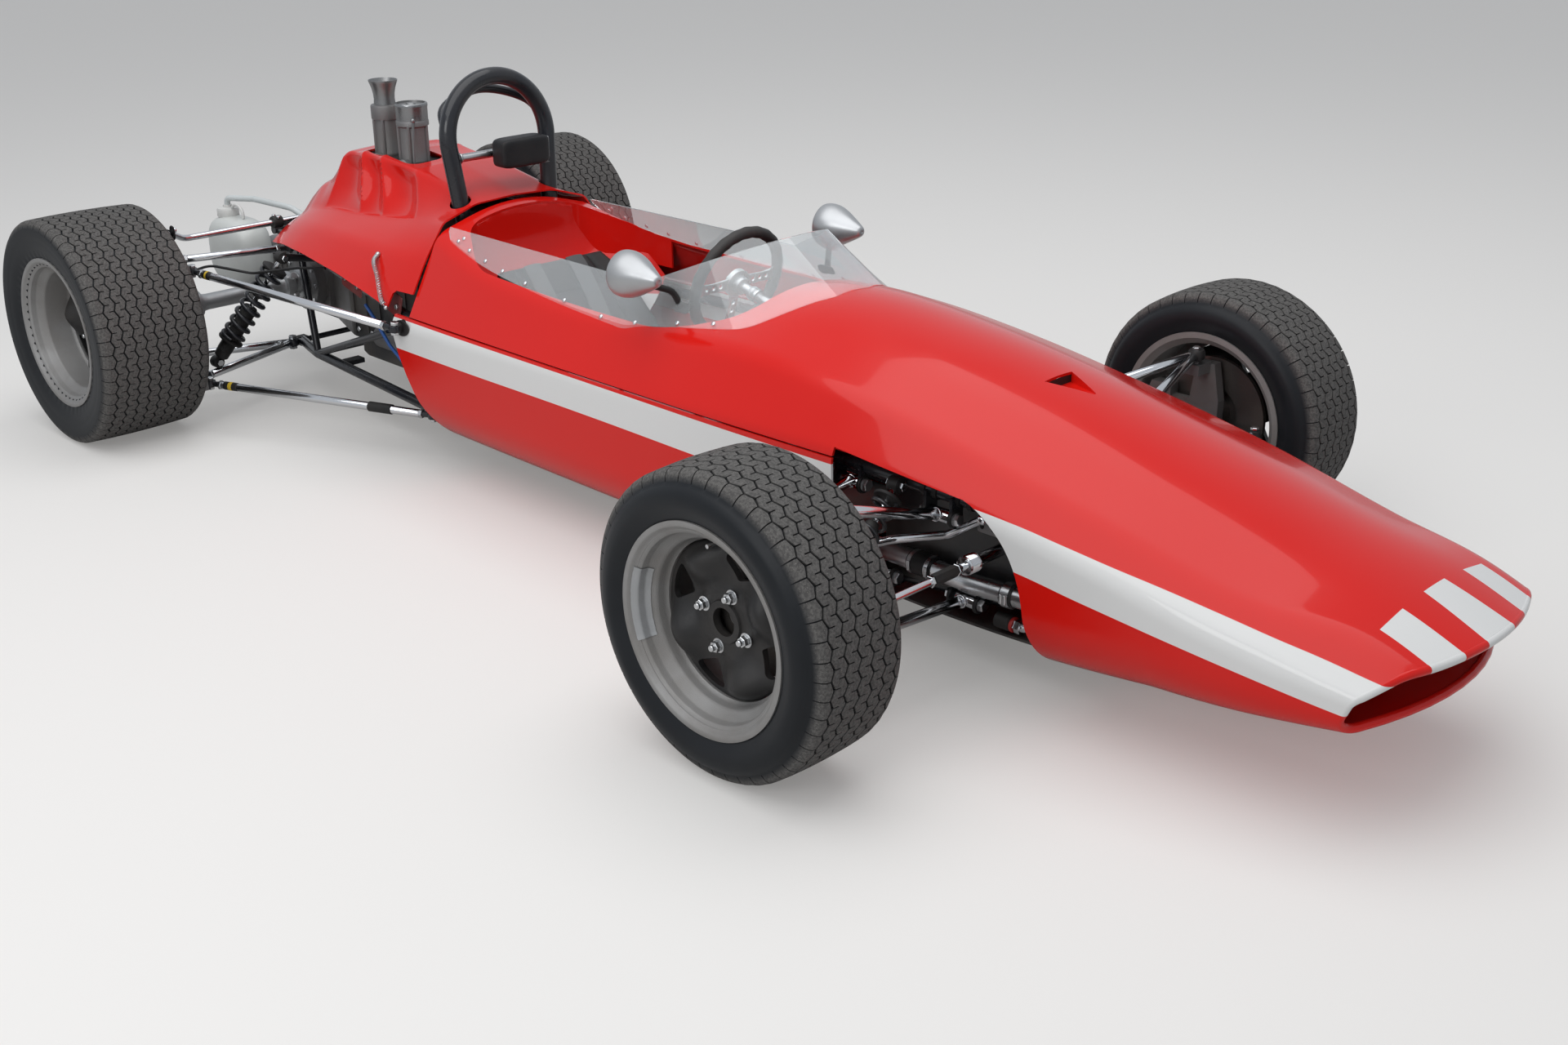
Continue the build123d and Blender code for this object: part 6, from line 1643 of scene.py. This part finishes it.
engine, cast, fixings, rubberBits = [], [], [], []
engineRear, engineFront = -1.212, -0.7
mid, span = (engineRear + engineFront) / 2, engineFront - engineRear
engine += [boxForm((mid, 0, 0.305), (span, 0.272, 0.25)), boxForm((mid, 0, 0.45), (span - 0.012, 0.24, 0.04)),
           boxForm((mid, 0, 0.156), (span - 0.03, 0.23, 0.062), 0.01)]
cast.append(boxForm((mid, 0, 0.508), (span - 0.044, 0.196, 0.08), 0.006))
for y in (-0.062, 0.062):
    cast.append(plateForm(span - 0.06, 0.06, 0.026, (mid, y, 0.554), ahead, leftward, 0.012, 0.004))
for k in range(8):
    x = engineRear + 0.045 + k * (span - 0.09) / 7
    for s in (-1, 1):
        engine.append(slabForm([(-0.004, -0.11), (0.004, -0.11), (0.004, 0.11), (-0.004, 0.11)],
                               (x, s * 0.1365, 0.3), ahead, upward, 0.008, 0.001))
        fixings += [hexForm((x + 0.018, s * 0.1362, z), (0, s, 0), 0.012, 0.006) for z in (0.205, 0.405)]
        fixings.append(hexForm((x, s * 0.062 + s * 0.022, 0.5605), upward, 0.01, 0.005))
for k in range(4):
    x = engineRear + 0.08 + k * (span - 0.16) / 3
    cast.append(rodForm((x, -0.136, 0.452), (x, -0.17, 0.47), 0.021, 26))
    lead = rounded([(x, 0.03, 0.562), (x + 0.006, 0.0, 0.582), (mid + 0.05 * k, -0.012, 0.585),
                    (engineRear + 0.02, -0.02, 0.575)], 0.03, 6)
    rubberBits.append(tubeForm(evenly(lead, 40), 0.0036, 10))
cast.append(turnedForm([(0, 0), (40, 2), (43, 8), (43, 85), (39, 92), (0, 94)], (-0.8, -0.138, 0.235),
                       (0.15, -0.6, -0.5), 36))
cast.append(rodForm((-1.0, -0.166, 0.225), (-0.87, -0.166, 0.225), 0.03, 30))
fixings.append(rodForm((-0.87, -0.166, 0.225), (-0.85, -0.166, 0.225), 0.014, 20))
piece("engineBlock", engine, "engineGrey", replaces=["engine_block"], angle=30)
piece("engineCastings", cast, "castAlloy", angle=35)
piece("engineFixings", fixings, "brushed")
piece("plugLeads", rubberBits, "blackTrim", angle=60)
gear, gearFix = [], []
for k in range(7):
    x = rearX - 0.088 - k * 0.028
    for s in (-1, 1):
        gear.append(slabForm([(-0.003, -0.066), (0.003, -0.066), (0.003, 0.058), (-0.003, 0.058)],
                             (x, s * 0.0735, rearRadius - 0.004), ahead, upward, 0.006, 0.001))
for k in range(10):
    a = k * math.pi / 5
    for s in (-1, 1):
        gearFix.append(hexForm((rearX + 0.068 * math.cos(a), s * 0.128, rearRadius + 0.068 * math.sin(a)),
                               (0, s, 0), 0.01, 0.005, a))
for y, z in ((-0.05, -0.056), (0.05, -0.056), (-0.05, 0.044), (0.05, 0.044), (-0.05, -0.006), (0.05, -0.006)):
    gearFix.append(hexForm((rearX - 0.2962, y, rearRadius + z), (-1, 0, 0), 0.011, 0.006))
for k in range(9):
    a = math.pi * k / 8
    gearFix.append(hexForm((rearX + 0.212, 0.108 * math.cos(a), rearRadius + 0.02 + 0.108 * math.sin(a)),
                           (-1, 0, 0), 0.011, 0.006, a))
piece("gearboxRibs", gear, "castAlloy")
piece("gearboxFixings", gearFix, "brushed")

# Cooling core: flat tubes and wavy fins in a frame behind the intake
coreX = 1.43
tubes, fins = [], []
for k in range(17):
    tubes.append(slabForm(roundedRect(0.034, 0.003, 0.0013, 3), (coreX + 0.019, 0, 0.166 + k * 0.009), ahead,
                          upward, 0.4, 0.0004))
for k in range(16):
    y = np.linspace(-0.198, 0.198, 265)
    z = 0.1705 + k * 0.009 + 0.0028 * np.sin(np.arange(265) * math.pi / 2)
    grid = np.stack([np.stack([np.full(265, x), y, z], 1) for x in (coreX + 0.003, coreX + 0.03)])
    fins.append(sheetForm(grid, 0.0003))
ends = [boxForm((coreX + 0.023, s * 0.204, 0.237), (0.044, 0.01, 0.152)) for s in (-1, 1)]
piece("coreTubes", tubes + ends, "engineGrey", angle=40)
piece("coreFins", fins, "iron", angle=60)
print("engine and core")


# Camera, as solved from the photograph
azimuth, elevation, roll = 0.787, 0.395, -0.006
right = arr([math.cos(azimuth), math.sin(azimuth), 0])
back = arr([math.sin(azimuth) * math.cos(elevation), -math.cos(azimuth) * math.cos(elevation), math.sin(elevation)])
up = np.cross(back, right)
camera = linked("camera", bpy.data.cameras.new("camera"))
camera.data.sensor_width, camera.data.lens = 36.0, 40.23
camera.matrix_world = Matrix(np.stack([circle(roll, right, up), circle(roll, up, -right), back],
                                      1).tolist()).to_4x4()
camera.location = (2.703, -2.442, 1.473)
bpy.context.scene.camera = camera


# Floor, world and lamps
def stageMaterial(name, colour, glow):
    # a pale finish that shades as written, with a glow that only the camera sees
    material = bpy.data.materials.new(name)
    material.use_nodes = True
    tree = material.node_tree
    seen = addNode(tree, "LightPath").outputs["Is Camera Ray"]
    wire(tree, tree.nodes["Principled BSDF"], {
        "Base Color": (*colour, 1), "Roughness": 0.8, "Emission Color": (*colour, 1),
        "Emission Strength": maths(tree, "MULTIPLY", seen, glow),
    })
    return material


floor = linked("floor", meshData("floor", gridForm(arr([[(-14, -14, 0), (-14, 14, 0)],
                                                        [(14, -14, 0), (14, 14, 0)]]))))
floor.data.materials.append(stageMaterial("floorPale", (0.62, 0.61, 0.595), 0.34))

world = bpy.data.worlds.new("world")
bpy.context.scene.world = world
world.use_nodes = True
sky = world.node_tree
path = addNode(sky, "LightPath").outputs
mirrored = maths(sky, "MAXIMUM", path["Is Glossy Ray"], path["Is Transmission Ray"])
pale = maths(sky, "MAXIMUM", path["Is Camera Ray"], mirrored)
wire(sky, sky.nodes["Background"], {0: (0.86, 0.9, 0.96, 1),
                                    1: maths(sky, "ADD", maths(sky, "MULTIPLY", pale, 0.26), 0.38)})


def lamp(name, location, target, size, power):
    # an area lamp that shines from its place towards its target
    obj = linked(name, bpy.data.lights.new(name, "AREA"))
    obj.data.shape = "RECTANGLE"
    obj.data.size, obj.data.size_y = size
    obj.data.energy = power
    obj.matrix_world = Matrix(np.stack(axisFrame(arr(location) - target), 1).tolist()).to_4x4()
    obj.location = location


lamp("lampTop", (0.3, -0.9, 4.6), (0, 0, 0.3), (7.5, 5.0), 200)
lamp("lampSide", (1.5, -5.5, 3.0), (0, 0, 0.3), (3.0, 1.6), 60)
bpy.context.scene.view_settings.view_transform = "Standard"
print("stage set")
